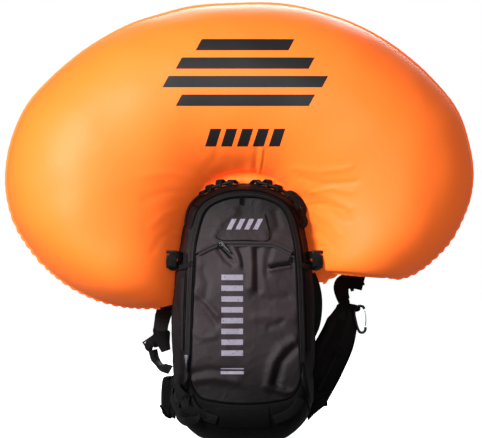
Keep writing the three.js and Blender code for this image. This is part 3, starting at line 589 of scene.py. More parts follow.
def airbag_material():
    """Coated nylon, satin, with a fine ripstop grid; plain black bars are printed on its front, and a painted
    glow lifts its shaded parts.
    """
    shader = Shader("airbag_fabric")
    vector, (x, y, z) = shader.place()
    drift = shader.noise(vector, 3.0, 3.0)
    base = shader.ramp(drift, [(0.3, shade(AIRBAG_TINT, 0.95)), (0.7, AIRBAG_TINT)])
    front = shader.math("LESS_THAN", y, -0.02)
    ink = shader.math("MULTIPLY", bars_mask(shader, x, z, AIRBAG_BARS), front)
    shader.colour(shader.mix(ink, base, BLACK_INK))
    painted_glow = shader.mix(ink, AIRBAG_PAINTED_GLOW, (0.0, 0.0, 0.0))  # painted glow: emission standing in for daylight shining through the thin nylon into its shade
    shader.wire(painted_glow, shader.surface.inputs["Emission Color"])
    shader.set(Roughness=0.52, Specular_IOR_Level=0.26, Emission_Strength=0.29, Sheen_Weight=0.05,
               Sheen_Roughness=0.4, Sheen_Tint=(1.0, 0.55, 0.25, 1))
    lines = [shader.math("GREATER_THAN", shader.math("PINGPONG", place, RIPSTOP_CELL), 0.9 * RIPSTOP_CELL)
             for place in (x, z)]
    shader.bump(shader.noise(vector, 26.0, 4.0), 0.25, 0.0025)
    shader.bump(shader.math("MAXIMUM", *lines), 0.12, 0.0002)
    return shader.material


PRINT_GREY = (0.235, 0.215, 0.270)
FRONT_BARS = [(-0.029, 0.374 - 0.0245 * step, 0.0245, 0.0062, 0.0) for step in range(8)]
FRONT_BARS += [(-0.029, 0.167, 0.026, 0.0012, 0.0), (-0.029, 0.158, 0.026, 0.0035, 0.0)]
FRONT_BARS += [(-0.030 + 0.020 * step, 0.494, 0.0055, 0.012, 0.5) for step in range(4)]


def printed_fabric():
    """The front's fabric with a lavender-grey column of plain reflective bars and a small striped badge."""
    shader = pack_shader("printed_fabric", (0.0215, 0.0150, 0.0170), 0.46, 0.15)
    vector, (x, _, z) = shader.place()
    cloth = shader.surface.inputs["Base Color"].links[0].from_socket
    unworn = shader.math("GREATER_THAN", shader.noise(vector, 420.0, 3.0), 0.36)
    ink = shader.math("MULTIPLY", bars_mask(shader, x, z, FRONT_BARS), unworn)
    shader.colour(shader.mix(ink, cloth, PRINT_GREY))
    return shader.material


FABRIC = pack_fabric("pack_fabric", (0.0085, 0.0062, 0.0068), 0.52, 0.09)
FABRIC_DARK = pack_fabric("pack_fabric_dark", (0.0056, 0.0044, 0.0046), 0.6, 0.08)
WEBBING = webbing_material()
PLASTIC = plastic_material("buckle_plastic", (0.0020, 0.0020, 0.0023), 0.36)
MACHINE = plastic_material("machine_plastic", (0.035, 0.035, 0.04), 0.5)
FRAME_PLASTIC = plastic_material("frame_plastic", (0.03, 0.03, 0.032), 0.5)
RED = plastic_material("signal_red", (0.42, 0.012, 0.008), 0.38)
SLEEVE = plastic_material("capacitor_sleeve", (0.02, 0.05, 0.16), 0.25)
CABLE = plastic_material("cable_sheath", (0.008, 0.008, 0.008), 0.5)
STEEL = metal_material("bright_steel", (0.78, 0.78, 0.8), 0.22)
GUNMETAL = metal_material("gunmetal", (0.06, 0.06, 0.065), 0.25)
ALUMINIUM = metal_material("stay_aluminium", (0.66, 0.67, 0.69), 0.4)
BLACK_METAL = metal_material("black_anodised", (0.03, 0.03, 0.034), 0.34)
MESH_PAD = spacer_mesh("spacer_mesh", (0.0085, 0.0076, 0.0080))
AIRBAG = airbag_material()
FRONT_FABRIC = printed_fabric()
TRIM = pack_fabric("trim_fabric", (0.0030, 0.0026, 0.0028), 0.66, 0.05)
ZIP_TAPE = pack_fabric("zip_tape", (0.0016, 0.0015, 0.0016), 0.55)
ZIP_COIL = plastic_material("zip_coil", (0.0022, 0.0022, 0.0024), 0.35)
THREAD = pack_fabric("thread", (0.024, 0.021, 0.022), 0.6)

# ---- carried-over CAD parts inside the pack ----
INNER_FINISH = {
    "compressor_housing": MACHINE, "intake_grille": MACHINE, "electronics_case": MACHINE,
    "battery_cover": MACHINE, "impeller": MACHINE, "fan_motor": STEEL, "capacitor_pack": SLEEVE,
    "power_button": RED, "frame_sheet": FRAME_PLASTIC, "frame_stay_left": ALUMINIUM,
    "frame_stay_right": ALUMINIUM, "outlet_duct": AIRBAG, "trigger_cable": CABLE,
}
for node_name, finish in INNER_FINISH.items():
    node_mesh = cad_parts[node_name].data
    node_mesh.materials.clear()
    node_mesh.materials.append(finish)


# ---- shaping cloth ----
FOLD_GAIN = 1.9  # how much deeper than listed the pack's folds are laid
# Folds of the front, in mm: a route of (x, z) points, the fold's width and its height (a valley is below 0).
FRONT_FOLDS = [
    ([(14, 437), (17, 400), (13, 352)], 9, 3.2), ([(27, 436), (27, 395), (30, 345)], 8, -3.4),
    ([(-28, 442), (-18, 424), (-12, 404)], 6, 2.4), ([(-14, 443), (-6, 422), (-2, 396)], 6, -2.2),
    ([(-60, 440), (-44, 416), (-30, 404)], 6, -2.2), ([(58, 436), (52, 412), (50, 380)], 8, -1.8),
    ([(-112, 340), (-88, 314), (-62, 288)], 9, 2.4), ([(-104, 322), (-84, 300), (-66, 268)], 8, -2.0),
    ([(70, 134), (83, 182), (112, 212)], 10, -4.2), ([(52, 128), (62, 180), (84, 214), (112, 232)], 11, 3.6),
    ([(64, 122), (92, 112), (122, 118)], 8, 2.4), ([(24, 282), (60, 286), (108, 282)], 12, 2.0),
    ([(56, 262), (76, 268), (86, 276)], 7, -1.6), ([(-116, 156), (-80, 164), (-40, 158)], 9, -1.8),
    ([(-112, 140), (-70, 146), (-20, 138)], 10, 1.8), ([(20, 330), (54, 322), (96, 330)], 9, -1.4),
    ([(58, 399), (80, 403), (104, 406)], 4, -4.0), ([(58, 391), (80, 395), (102, 400)], 5, 2.2),
    ([(-70, 470), (-52, 500), (-20, 522)], 9, 1.6), ([(60, 470), (78, 490), (70, 520)], 9, -1.6),
    ([(-118, 250), (-96, 236), (-70, 240)], 8, 1.5), ([(-96, 390), (-84, 360), (-90, 330)], 8, -1.4),
]
SIDE_FOLDS = [
    ([(-134, 500), (-142, 440), (-146, 404)], 7, -2.4), ([(-126, 480), (-132, 430)], 5, 2.0),
    ([(-148, 380), (-150, 300), (-146, 210)], 8, 2.6), ([(-138, 372), (-139, 290), (-136, 190)], 6, -2.6),
    ([(-156, 300), (-150, 250), (-157, 190)], 6, -1.8), ([(134, 500), (141, 440), (145, 400)], 7, -2.4),
    ([(148, 380), (152, 300), (146, 210)], 8, 2.6), ([(138, 360), (140, 290), (136, 180)], 6, -2.6),
    ([(126, 230), (142, 200), (156, 150)], 8, -2.8), ([(-124, 150), (-140, 130), (-152, 100)], 7, 2.2),
    ([(128, 150), (140, 128), (150, 90)], 7, 2.4), ([(-110, 540), (-122, 510), (-128, 480)], 6, 1.8),
    ([(108, 540), (120, 515), (127, 480)], 6, -1.8),
]


def fold_height(points, route, width, height):
    """Height of one fold at each point; the fold runs along a route of (x, z) points in mm."""
    flat = points[..., [0, 2]]
    stops = np.array(route) * MM
    nearest = np.full(flat.shape[:-1], 1.0)
    for a, b in zip(stops, stops[1:]):
        run = b - a
        share = np.clip(((flat - a) @ run) / (run @ run), 0, 1)
        nearest = np.minimum(nearest, np.linalg.norm(flat - (a + share[..., None] * run), axis=-1))
    return height * MM * np.exp(-((nearest / (width * MM)) ** 2))


def cloth_relief(points, folds, rough=1.0, seed=0.0):
    """How far a fabric panel stands proud of its pattern shape: named folds and small crumples."""
    total = rough * 0.0026 * fractal(points, 0.085, 2, seed)
    ridged = 1 - np.abs(fractal(points, 0.050, 3, seed + 7))
    total += rough * 0.0007 * (ridged ** 3 - 0.4)
    total += rough * 0.00025 * fractal(points, 0.014, 2, seed + 11)
    for route, width, height in folds:
        total += FOLD_GAIN * fold_height(points, route, width, height)
    return total


def edge_fade(nu, nv, rim=0.06):
    """1 inside a grid and 0 on its sewn edges."""
    along = np.clip(from_ends(nu) / (rim / 2), 0, 1)
    across = np.clip(from_ends(nv) / rim, 0, 1)
    return (along[:, None] * across[None, :]) ** 0.5


SHELL_CENTRE = (0, -0.030, 0.300)
SEAM_DIP = 1.5 * MM
CLOTH_THICKNESS = 3 * MM


def facing_out(grid):
    return turned_out(grid_normals(grid), grid, SHELL_CENTRE)


def gusset_panel(name, node, knots, band, size, seed, folds=(), material=FABRIC, lift=0.0,
                 thickness=CLOTH_THICKNESS, rough=1.0):
    """A sewn panel of the shell's wall, between two knots and across a band of t."""
    grid = gusset(*np.meshgrid(np.linspace(*knots, size[0]), np.linspace(*band, size[1]), indexing="ij"))
    normal = facing_out(grid)
    relief = cloth_relief(grid, folds, rough, seed) * edge_fade(*size)
    seam_dip = SEAM_DIP * (1 - edge_fade(*size, rim=0.03))
    grid = grid + normal * (relief - seam_dip + lift)[..., None]
    grid[..., 2] = np.maximum(grid[..., 2], 0.0)
    obj = shell_from_grid(name, grid, normal, thickness, material)
    return settle(obj, "pack", "pack_fabric", node)


def on_gusset(stops, lift, count=40):
    """A path and its outward normals over the shell's wall, through points given as (knot, t)."""
    knot, t = Spline(stops)(np.linspace(0, 1, count)).T
    step = 0.02
    path = gusset(knot, t)
    along = gusset(knot + step, t) - gusset(knot - step, t)
    across = gusset(knot, np.minimum(t + step, 1)) - gusset(knot, np.maximum(t - step, 0))
    normal = turned_out(unit(np.cross(along, across)), path, SHELL_CENTRE)
    return path + normal * lift, normal


STITCH_STEP = 4.2 * MM
STITCH_LENGTH = 2.8 * MM
THREAD_RADIUS = 0.35 * MM


def stitches(name, path, normal):
    """A row of thread stitches along a path, lying on a surface."""
    run = run_length(path)
    points, faces = [], []
    for start in np.arange(STITCH_STEP / 2, run[-1] - STITCH_LENGTH, STITCH_STEP):
        ends = [table_at(place, run, path) for place in (start, start + STITCH_LENGTH)]
        axis = ends[1] - ends[0]
        side = unit(np.cross(axis, table_at(start, run, normal)))
        up = unit(np.cross(side, axis))
        base = len(points)
        for end in ends:
            for angle in np.arange(0, 2 * math.pi, math.pi / 2):
                points.append(end + THREAD_RADIUS * (side * math.cos(angle) + up * math.sin(angle)))
        faces += [(base + j, base + (j + 1) % 4, base + 4 + (j + 1) % 4, base + 4 + j) for j in range(4)]
        faces += [(base + 3, base + 2, base + 1, base), (base + 4, base + 5, base + 6, base + 7)]
    return mesh_object(name, points, faces, THREAD)


# ---- airbag ----
airbag_outer = Spline(AIRBAG_PAIRS[:, :2])
airbag_inner = Spline(AIRBAG_PAIRS[:, 2:])


def airbag_grid(along, around):
    """Sections across the airbag; the angle runs from the outer seam over the front to the inner seam."""
    u = np.linspace(0.006, 0.994, along)
    angle = np.linspace(0, 2 * np.pi, around, endpoint=False)
    out, into = airbag_outer(u), airbag_inner(u)
    press = PRESS_IN * (1 - smoothstep(0.560, 0.600, into[:, 1:]))
    into = into + unit(PRESS_CENTRE - into) * press
    centre = (out + into) / 2
    half = (out - into) / 2
    width = np.linalg.norm(half, axis=1)
    depth = AIRBAG_RADIUS * np.sin(np.minimum(1, width / AIRBAG_RADIUS) * np.pi / 2)
    flat = centre[:, None] + half[:, None] * np.cos(angle)[None, :, None]
    y = -depth[:, None] * np.sin(angle)[None, :]
    return np.stack([flat[..., 0], y, flat[..., 1]], axis=-1), u, angle


# Folds of the airbag where it is drawn in at the pack, in mm, the same on both faces: route, width, height.
AIRBAG_FOLDS = [
    ([(112, 622), (170, 612), (236, 622)], 5, 3.4), ([(126, 600), (180, 584), (250, 590)], 5, -3.8),
    ([(150, 566), (196, 574), (240, 566)], 4, 3.0), ([(44, 660), (41, 630), (36, 598)], 2.5, -4.0),
    ([(146, 536), (184, 540), (222, 528), (240, 500)], 4, -3.0),
    ([(142, 572), (190, 556), (236, 530)], 7, 3.0), ([(150, 548), (190, 530), (224, 500)], 7, -2.8),
    ([(158, 520), (190, 500), (212, 470)], 6, 2.4), ([(160, 480), (186, 462), (204, 436)], 6, -2.2),
    ([(-120, 600), (-170, 612), (-230, 604)], 8, 2.4), ([(-140, 568), (-184, 566), (-226, 548)], 8, -2.4),
    ([(-152, 530), (-186, 516), (-214, 490)], 7, 2.0), ([(-160, 480), (-190, 462), (-210, 430)], 7, -2.0),
    ([(40, 670), (37, 636), (34, 604)], 5, 3.2), ([(28, 672), (26, 640), (24, 606)], 6, -3.6),
    ([(-60, 640), (-20, 628), (22, 632)], 14, -3.4), ([(-96, 612), (-70, 640), (-60, 668)], 8, -2.0),
]
AIRBAG_FOLD_GAIN = 0.55
AIRBAG_GRID = (460, 160)  # points along the airbag and around it


def seam_waver(run, rate, row, layer):
    """Slow smooth noise along a seam, about -1 to 1."""
    return np.array([noise.fractal(Vector((s * rate, row, layer)), 1.0, 2.0, 3) for s in run])


def outer_pucker(outer_line, angle):
    """Small gathers along the outer seam, largest on the airbag's lower edges."""
    run = run_length(outer_line)
    waver = seam_waver(run, 7.0, 3.1, 0.7)
    low = 1 - smoothstep(0.40, 0.62, outer_line[:, 1])
    size = 0.0002 + 0.0017 * low * (0.7 + 0.6 * np.abs(waver))
    gathers = size * np.sin(2 * np.pi * (run / 0.021 + 1.1 * waver))
    seam_gap = np.minimum(angle, 2 * np.pi - angle)
    return gathers[:, None] * np.exp(-seam_gap / 0.10)[None, :]


def inner_rays(inner_line, angle):
    """Soft folds that fan out from the inner seam."""
    run = run_length(inner_line)
    waver = seam_waver(run, 9.0, 8.3, 2.7)
    rays = 0.0011 * np.sin(2 * np.pi * (run / 0.052 + 1.6 * waver))
    reach = np.exp(-((np.abs(angle - np.pi) - 0.30) / 0.20) ** 2)
    return rays[:, None] * reach[None, :]


def make_airbag():
    grid, u, angle = airbag_grid(*AIRBAG_GRID)
    normal = grid_normals(np.concatenate([grid, grid[:, :1]], axis=1))[:, :-1]
    normal = turned_out(normal, grid, grid.mean(axis=1, keepdims=True))
    relief = outer_pucker(airbag_outer(u), angle) + inner_rays(airbag_inner(u), angle)
    relief += 0.0035 * fractal(grid, 0.16, 2, 5.0)
    off_seam = np.where(grid[..., 1] == 0, 0.0, 1.0)
    for stops, width, height in AIRBAG_FOLDS:
        relief += AIRBAG_FOLD_GAIN * off_seam * fold_height(grid, stops, width, height)
    grid = grid + normal * relief[..., None]
    bag = outward(mesh_object("airbag", grid.reshape(-1, 3), ring_faces(*AIRBAG_GRID), AIRBAG))
    tape_path = grid[:, 0] + unit(grid[:, 0] - grid.mean(axis=1)) * 0.0012
    tape = swept("seam_tape", tape_path, FRONTWARD, rounded_section(0.008, 0.0014, 0.0006), AIRBAG)
    whole = join("airbag", [bag, tape])
    return settle(whole, "pack", "airbag_fabric", "airbag_front_panel", "airbag_rear_panel")


def airbag_collar():
    """The gathered sleeve that carries the airbag out of the slot behind the hood."""
    count = 200
    x = np.linspace(-0.122, 0.120, count)
    path = np.stack([x, np.full(count, -0.020), 0.599 - 0.041 * (np.abs(x) / 0.120) ** 2.2], axis=1)
    up = np.stack([x * 1.1, np.full(count, -0.05), np.full(count, 0.12)], axis=1)
    gather = 1 + 0.012 * np.sin(np.arange(count) * 0.42) + 0.02 * np.sin(np.arange(count) * 0.17)
    scale = np.clip(from_ends(count) / 0.10, 0.05, 1) ** 0.5 * gather
    section = oval_section(0.030, 0.0160, 40, 0.8, 0.8)
    sleeve = swept("airbag_sleeve", path, up, section, AIRBAG, scale_side=scale, scale_up=scale)
    return settle(sleeve, "pack", "airbag_fabric", "airbag_collar")


airbag = make_airbag()
airbag_collar()


# ---- pack shell ----
# The goggle zip's line as (reach from the middle, height) in mm.
ZIP_LINE = ((0, 449), (40, 449), (64, 448), (84, 440), (104, 429), (118, 420))
ZIP_REACH, ZIP_LEVEL = np.array(ZIP_LINE).T * MM
ZIP_END = 0.424  # where the line meets the front seam
ZIP_GAP = 2.2 * MM  # from the line to each panel's edge


def zip_height(x):
    """Height of the goggle zip's line over the front."""
    return np.interp(np.abs(x), ZIP_REACH, ZIP_LEVEL)


FRONT_KNOTS = np.linspace(0, TOP_KNOT, 2001)
FRONT_LEVELS = front_outline(FRONT_KNOTS / SHELL_KNOTS)[:, 1]
ZIP_KNOT = float(FRONT_KNOTS[np.argmin(np.abs(FRONT_LEVELS - ZIP_END))])


def front_part(name, node, k0, k1, rows, seed):
    """The front below or above the goggle zip, made of level rows whose ends lie on the front seam."""
    columns = 190
    edge = front_outline(np.linspace(k0, k1, rows) / SHELL_KNOTS)
    share = np.linspace(-1, 1, columns)
    level = np.repeat(edge[:, 1:], columns, axis=1)
    split = front_outline(np.array(ZIP_KNOT / SHELL_KNOTS))[1]
    if k1 > ZIP_KNOT:
        weight = 1 - np.clip((level - split) / (level.max() - split), 0, 1)
        gap = ZIP_GAP
        from_far_end = np.linspace(1, 0, rows)
    else:
        weight = np.clip((level - 0.300) / (split - 0.300), 0, 1) ** 1.5
        gap = -ZIP_GAP
        from_far_end = np.linspace(0, 1, rows)
    x = edge[:, :1] * share[None, :]
    z = level + (zip_height(x) - split + gap) * weight
    grid = np.stack([x, front_y(x, z), z], axis=-1)
    normal = facing_out(grid)
    side_fade = np.clip((1 - np.abs(share)) / 0.05, 0, 1) ** 0.5
    end_fade = np.clip(from_far_end * 14, 0, 1)
    relief = cloth_relief(grid, FRONT_FOLDS, 1.0, seed) * side_fade[None, :] * end_fade[:, None]
    lip = 0.0022 * np.exp(-((np.abs(z - zip_height(x)) / 0.007) ** 2))
    grid = grid + normal * (relief + lip - 0.0012)[..., None]
    obj = shell_from_grid(name, grid, normal, CLOTH_THICKNESS, FRONT_FABRIC)
    return settle(obj, "pack", "pack_fabric", node)


front_part("front_panel_cloth", "front_panel", 0.02, ZIP_KNOT, 190, 1.0)
front_part("goggle_pocket_cloth", "goggle_pocket", ZIP_KNOT, TOP_KNOT - 0.02, 90, 2.0)
HOOD_HALF = 2
HOOD_START = 0.2
BASE_END = 3
SEAM = 0.018
RIGHT_WALL = (BASE_END + SEAM, TOP_KNOT - HOOD_HALF - SEAM)
LEFT_WALL = (TOP_KNOT + HOOD_HALF + SEAM, SHELL_KNOTS - BASE_END - SEAM)
for side, knots, seed in (("right", RIGHT_WALL, 3.0), ("left", LEFT_WALL, 4.0)):
    node = "side_panel_" + side
    gusset_panel(node + "_cloth", node, knots, (0, 1), (230, 90), seed, SIDE_FOLDS)
gusset_panel("top_hood_cloth", "top_hood", (TOP_KNOT - HOOD_HALF, TOP_KNOT + HOOD_HALF), (HOOD_START, 1),
             (180, 80), 5.0, rough=1.2)
gusset_panel("base_panel_cloth", "base_panel", (-BASE_END, BASE_END), (0, 1), (200, 90), 6.0,
             material=FABRIC_DARK, rough=0.9)
gusset_panel("base_patch_cloth", "base_patch", (-0.9, 0.9), (0.7, 0.97), (70, 50), 7.0,
             material=FABRIC_DARK, lift=0.0026, thickness=0.002, rough=0.5)


def seam_piping():
    """Cord piping round the front seam, and flat-felled seams across the wall."""
    knots = np.linspace(0, SHELL_KNOTS, 500, endpoint=False)
    ring = gusset(knots, np.ones_like(knots)) + np.array([0, -0.0014, 0])
    pieces = [tube("piping", ring, 0.0021, TRIM, 10, closed=True)]
    arch = [(4.2, 0.80), (6, 0.80), (8, 0.79), (10, 0.78), (12, 0.79), (14, 0.80), (15.8, 0.80)]
    pieces.append(tube("arch_piping", on_gusset(arch, 0.0012, 300)[0], 0.0017, TRIM, 8))
    for knot in (BASE_END, SHELL_KNOTS - BASE_END, TOP_KNOT - HOOD_HALF, TOP_KNOT + HOOD_HALF):
        path, _ = on_gusset([(knot, t) for t in np.linspace(0.02, 0.99, 7)], 0.0008, 80)
        pieces.append(tube("felled_seam", path, 0.0015, TRIM, 8))
    for shift in (0.966, 1.034):
        path, normal = on_gusset([(knot, 0.80 * shift) for knot, _ in arch], 0.0012, 300)
        pieces.append(stitches("arch_stitches", path, normal))
    return settle(join("shell_seams", pieces), "pack", "pack_fabric")


seam_piping()
COIL_SECTION = np.array([(2.4, 0), (1.5, 1.2), (-1.5, 1.2), (-2.4, 0), (0, -1)]) * MM
COIL_STEP = 0.5 * MM


def zip_row(path, normal, width, name, lip_cloth):
    """Zip tape, its coil and two rain-flap lips of pack fabric, along a path."""
    normal = np.broadcast_to(np.asarray(normal, float), path.shape)
    tape = swept("tape", path, normal, rounded_section(width, 0.0012, 0.0005), ZIP_TAPE)
    _, side, _ = frames_along(path, normal)
    steps = int(run_length(path)[-1] / COIL_STEP)
    at, known = np.linspace(0, 1, steps), np.linspace(0, 1, len(path))
    lift = table_at(at, known, normal)
    pulse = 0.8 + 0.2 * np.sin(np.arange(steps) * 2 * math.pi / 4)
    coil_path = table_at(at, known, path) + lift * 0.0008
    coil = swept("coil", coil_path, lift, COIL_SECTION, ZIP_COIL, scale_side=pulse, scale_up=pulse)
    lip_section = rounded_section(0.0050, 0.0022, 0.0010)
    lips = [swept("lip", path + side * sign * 0.0036 + normal * 0.0009, normal, lip_section, lip_cloth)
            for sign in (-1, 1)]
    return join(name, [tape, coil, *lips])


main_path, main_normal = on_gusset([(k, 0.935) for k in np.linspace(3.7, SHELL_KNOTS - 3.7, 25)], 0.0024, 500)
main_zip = zip_row(main_path, main_normal, 0.010, "main_zip_coil", FABRIC)
settle(main_zip, "pack", "zip_tape", "main_zip")
goggle_x = np.linspace(-0.106, 0.106, 120)
goggle_z = zip_height(goggle_x)
goggle_path = np.stack([goggle_x, front_y(goggle_x, goggle_z) - 0.0026, goggle_z], axis=1)
goggle_zip = zip_row(goggle_path, FRONTWARD, 0.009, "goggle_zip_coil", FRONT_FABRIC)
settle(goggle_zip, "pack", "zip_tape", "goggle_zip")
refined("main_zip_slider", BLACK_METAL, "zip_metal", "main_slider", 0.0007)
refined("goggle_zip_slider", GUNMETAL, "zip_metal", "goggle_slider", 0.0007)


# ---- webbing ----
WEBBING_CORNER = 0.9 * MM


def route(points, count):
    return Spline(np.array(points, float) * MM)(np.linspace(0, 1, count))


def webbing(name, points, facing, width, body, nodes=(), thickness=2.2):
    """A woven strap with rounded edges through points in mm; facing and width may change along it."""
    count = 70
    section = rounded_section(1, thickness * MM, WEBBING_CORNER)
    strap = swept(name, route(points, count), spread(facing, count), section, WEBBING,
                  scale_side=spread(np.array(width, float) * MM, count))
    return settle(strap, body, "webbing", *nodes)


def webbing_on_gusset(name, stops, lift, width, nodes=(), sag=0.0):
    """A strap over the shell's wall through (knot, t) points, with stitches at its first end."""
    count, stitched, thickness = 80, 14, 0.0022
    path, normal = on_gusset(stops, lift + thickness / 2, count)
    path = path + normal * (sag * np.sin(np.linspace(0, 1, count) * math.pi))[:, None]
    strap = swept(name, path, normal, rounded_section(width, thickness, WEBBING_CORNER), WEBBING)
    _, side, _ = frames_along(path, normal)
    pieces = [strap]
    for sign in (-1, 1):
        row = path + side * sign * (width / 2 - 0.003) + normal * (thickness / 2)
        pieces.append(stitches("edge_stitches", row[:stitched], normal[:stitched]))
    return settle(join(name, pieces), "pack", "webbing", *nodes)


def band(name, points, facing, size, count, material=WEBBING):
    """A flat band through points in mm, for a larger piece; size is (width, thickness, corner) in metres."""
    return swept(name, route(points, count), facing, rounded_section(*size), material)


def side_name(sign):
    return "left" if sign < 0 else "right"


COMPRESSION_BAND = (0.985, 0.93, 0.84, 0.7, 0.54)
for sign in (-1, 1):
    side = side_name(sign)
    stops = [(6.25 - 0.3 * (t - 0.5), t) for t in COMPRESSION_BAND]
    stops = [(k if sign > 0 else SHELL_KNOTS - k, t) for k, t in stops]
    webbing_on_gusset("compression_webbing_" + side, stops, 0.0036, 0.012, ["compression_strap_" + side])
    stops = [(TOP_KNOT - sign * k, t) for k, t in ((1.05, 0.42), (1.6, 0.42), (2.1, 0.44), (2.6, 0.48))]
    webbing_on_gusset("hood_webbing_" + side, stops, 0.0010, 0.016, ["hood_strap_" + side], sag=0.003)
    refined("hood_buckle_" + side, PLASTIC, "buckle_plastic", bevel=0.0009)
    refined("compression_hook_" + side, PLASTIC, "buckle_plastic", bevel=0.0012)
    refined("strap_adjuster_" + side, PLASTIC, "buckle_plastic", bevel=0.0009)
    lifter = [(sign * 58, 77, 560), (sign * 64, 110, 566), (sign * 78, 150, 544)]
    webbing("load_lifter_webbing_" + side, lifter, [(0, 0.1, 1), (0, 0.5, 1)], 18, "pack",
            ["load_lifter_" + side])
    chest = [(sign * 12, 170, 440), (sign * 50, 169, 440), (sign * 106, 167, 440)]
    webbing("sternum_webbing_" + side, chest, [BACKWARD], 20, "sternum", ["sternum_strap_" + side])
webbing_on_gusset("base_webbing_left", [(-1.0, 0.8), (-1.7, 0.83), (-2.3, 0.86), (-2.8, 0.88)], 0.0012, 0.022,
                  ["base_strap_left"], sag=0.003)
webbing_on_gusset("base_webbing_right", [(1.05, 0.80), (1.7, 0.83), (2.2, 0.85), (2.6, 0.87)], 0.0012, 0.022,
                  sag=0.002)
webbing("haul_loop_webbing", [(-26, 77, 566), (-27, 90, 574), (-14, 104, 580), (0, 108, 581), (14, 104, 580),
                              (27, 90, 574), (26, 77, 566)], [UPWARD], 12, "loop", ["haul_loop"], thickness=4)
webbing("shoulder_webbing_cloth_left", [(-209, 106, 198), (-203, 102, 176), (-188, 85, 160), (-168, 71, 153)],
        [(-0.4, 0.8, 0.4), (-0.7, 0.6, 0.2)], 22, "pack", ["shoulder_webbing_left"])
webbing("shoulder_webbing_cloth_right", [(117, 104, 198), (119, 102, 188), (121, 90, 178), (122, 83, 170)],
        [(0, 1, 0.6), (0, 1, 1)], 22, "pack", ["shoulder_webbing_right"])
webbing("hip_webbing_cloth_left", [(-152, 207, 98.5), (-138, 219, 99), (-118, 227, 100), (-100, 229, 100)],
        [(1, 0.8, 0), (0.2, 1, 0)], 36, "left_wing", ["hip_webbing_left"], thickness=2.5)
webbing("hip_webbing_cloth_right", [(236, 87, 315), (231, 92, 331), (231, 111, 346), (238, 123, 355)],
        [(0, 1, 0), (0, 1, 0.2), (0.3, 0.8, 0.5)], (26, 34, 36), "right_wing", ["hip_webbing_right"],
        thickness=2.5)
webbing("hip_webbing_fold", [(238, 84, 304), (231, 86, 322), (228, 96, 344), (238, 108, 356), (262, 112, 357),
                             (282, 114, 352)], [BACKWARD], (24, 30, 36, 36, 34), "right_wing")
webbing("shoulder_tab_left", [(-188, 114, 246), (-192, 112, 228), (-203, 109, 218), (-213, 106, 213),
                              (-216, 109, 206), (-209, 112, 204)], [BACKWARD], (38, 36, 26, 24, 24), "pack")
webbing("shoulder_tail_left", [(-188, 108, 236), (-184, 104, 214), (-178, 98, 196)], [BACKWARD],
        (40, 30, 22), "pack")


def on_front(x, z, lift):
    """A point in mm that stands off the front by lift."""
    return x, front_y(x * MM, z * MM) / MM - lift, z


def front_trims():
    """The port under the goggle zip, the pocket's patch edge, its pull cord and a small grab tab; the port's
    dark band is partly painted shade for the slit it lies in.
    """
    patch_line = ((-66, 478), (-64, 464), (-50, 458), (0, 458), (52, 458), (56, 470), (50, 500), (46, 516))
    # painted shade: the port is a dark band in the slit, partly a flap and partly standing in for the shade
    # inside the slit
    port = [on_front(x, z, 1.5) for x, z in ((56, 398), (70, 402), (86, 404), (100, 408), (105, 420))]
    patch = [on_front(x, z, 1.2) for x, z in patch_line]
    cord = [on_front(x, z, 5) for x, z in ((-62, 446), (-52, 436), (-42, 426), (-34, 418))]
    tab = [on_front(-9, 556, 3), on_front(-9, 548, 5), on_front(-9, 538, 4)]
    pieces = [
        band("port", port, FRONTWARD, (0.0075, 0.0030, 0.0014), 60, TRIM),
        tube("patch_edge", route(patch, 120), 0.0011, TRIM, 8),
        tube("pull_cord", route(cord, 40), 0.0020, TRIM, 10),
        band("tab", tab, FRONTWARD, (0.006, 0.0026, 0.0010), 30, TRIM),
    ]
    return settle(join("front_trims", pieces), "pack", "pack_fabric")


front_trims()

# Points in mm; the first two are mirrored for the left side.
HOOK_TAB = [(140, -92, 420), (152, -106, 424), (164, -112, 421), (170, -112, 408), (168, -110, 399),
            (160, -103, 396), (148, -98, 402), (140, -92, 406)]
HOOK_WRAP = [(163, -100, 419), (163, -112, 420), (163.5, -113, 408), (164, -110, 398), (164, -98, 396)]
SIDE_TAB = [(150, -66, 378), (158, -68, 360), (165, -66, 330), (166, -60, 296), (161, -54, 262),
            (150, -50, 236)]
HOOD_LOOP = [(112, -84, 556), (126, -80, 548), (136, -76, 530), (135, -78, 512), (139, -80, 498),
             (130, -86, 486)]
SPARE_END = [(92, -88, 560), (106, -88, 563), (117, -84, 555), (122, -82, 540), (114, -86, 528)]


def buckle_tabs():
    """Folded webbing that holds the hood buckles and side hooks, and the spare ends threaded through them."""
    pieces = []
    arch = np.sin(np.linspace(0, math.pi, 40))[:, None]
    for sign in (-1, 1):
        for knot, lean in ((0.42, 0.009), (0.80, 0.015), (1.18, 0.012), (1.45, 0.007)):
            stops = [(TOP_KNOT - sign * (knot + 0.12 * end), 0.42 + 0.04 * end) for end in (-1, 0, 1)]
            path, normal = on_gusset(stops, 0.002, 40)
            section = rounded_section(0.020, 0.0030, 0.0012)
            pieces.append(swept("tab", path + normal * arch * lean, normal + 0.01, section, WEBBING))
        tab, wrap = ([(sign * x, y, z) for x, y, z in points] for points in (HOOK_TAB, HOOK_WRAP))
        pieces.append(band("hook_tab", tab, (0.1, -1, 0.2), (0.017, 0.0030, 0.0012), 80))
        pieces.append(band("hook_wrap", wrap, (0, -1, 0.4), (0.017, 0.0026, 0.0011), 60))
    pieces.append(band("side_tab", SIDE_TAB, (0.3, -1, 0), (0.026, 0.0026, 0.0010), 90))
    pieces.append(band("hood_loop", HOOD_LOOP, (0.8, -1, 0.2), (0.015, 0.0028, 0.0011), 90))
    pieces.append(band("spare_end", SPARE_END, (0.3, -1, 0.3), (0.015, 0.0028, 0.0011), 60))
    return settle(join("buckle_tabs", pieces), "pack", "webbing")


buckle_tabs()

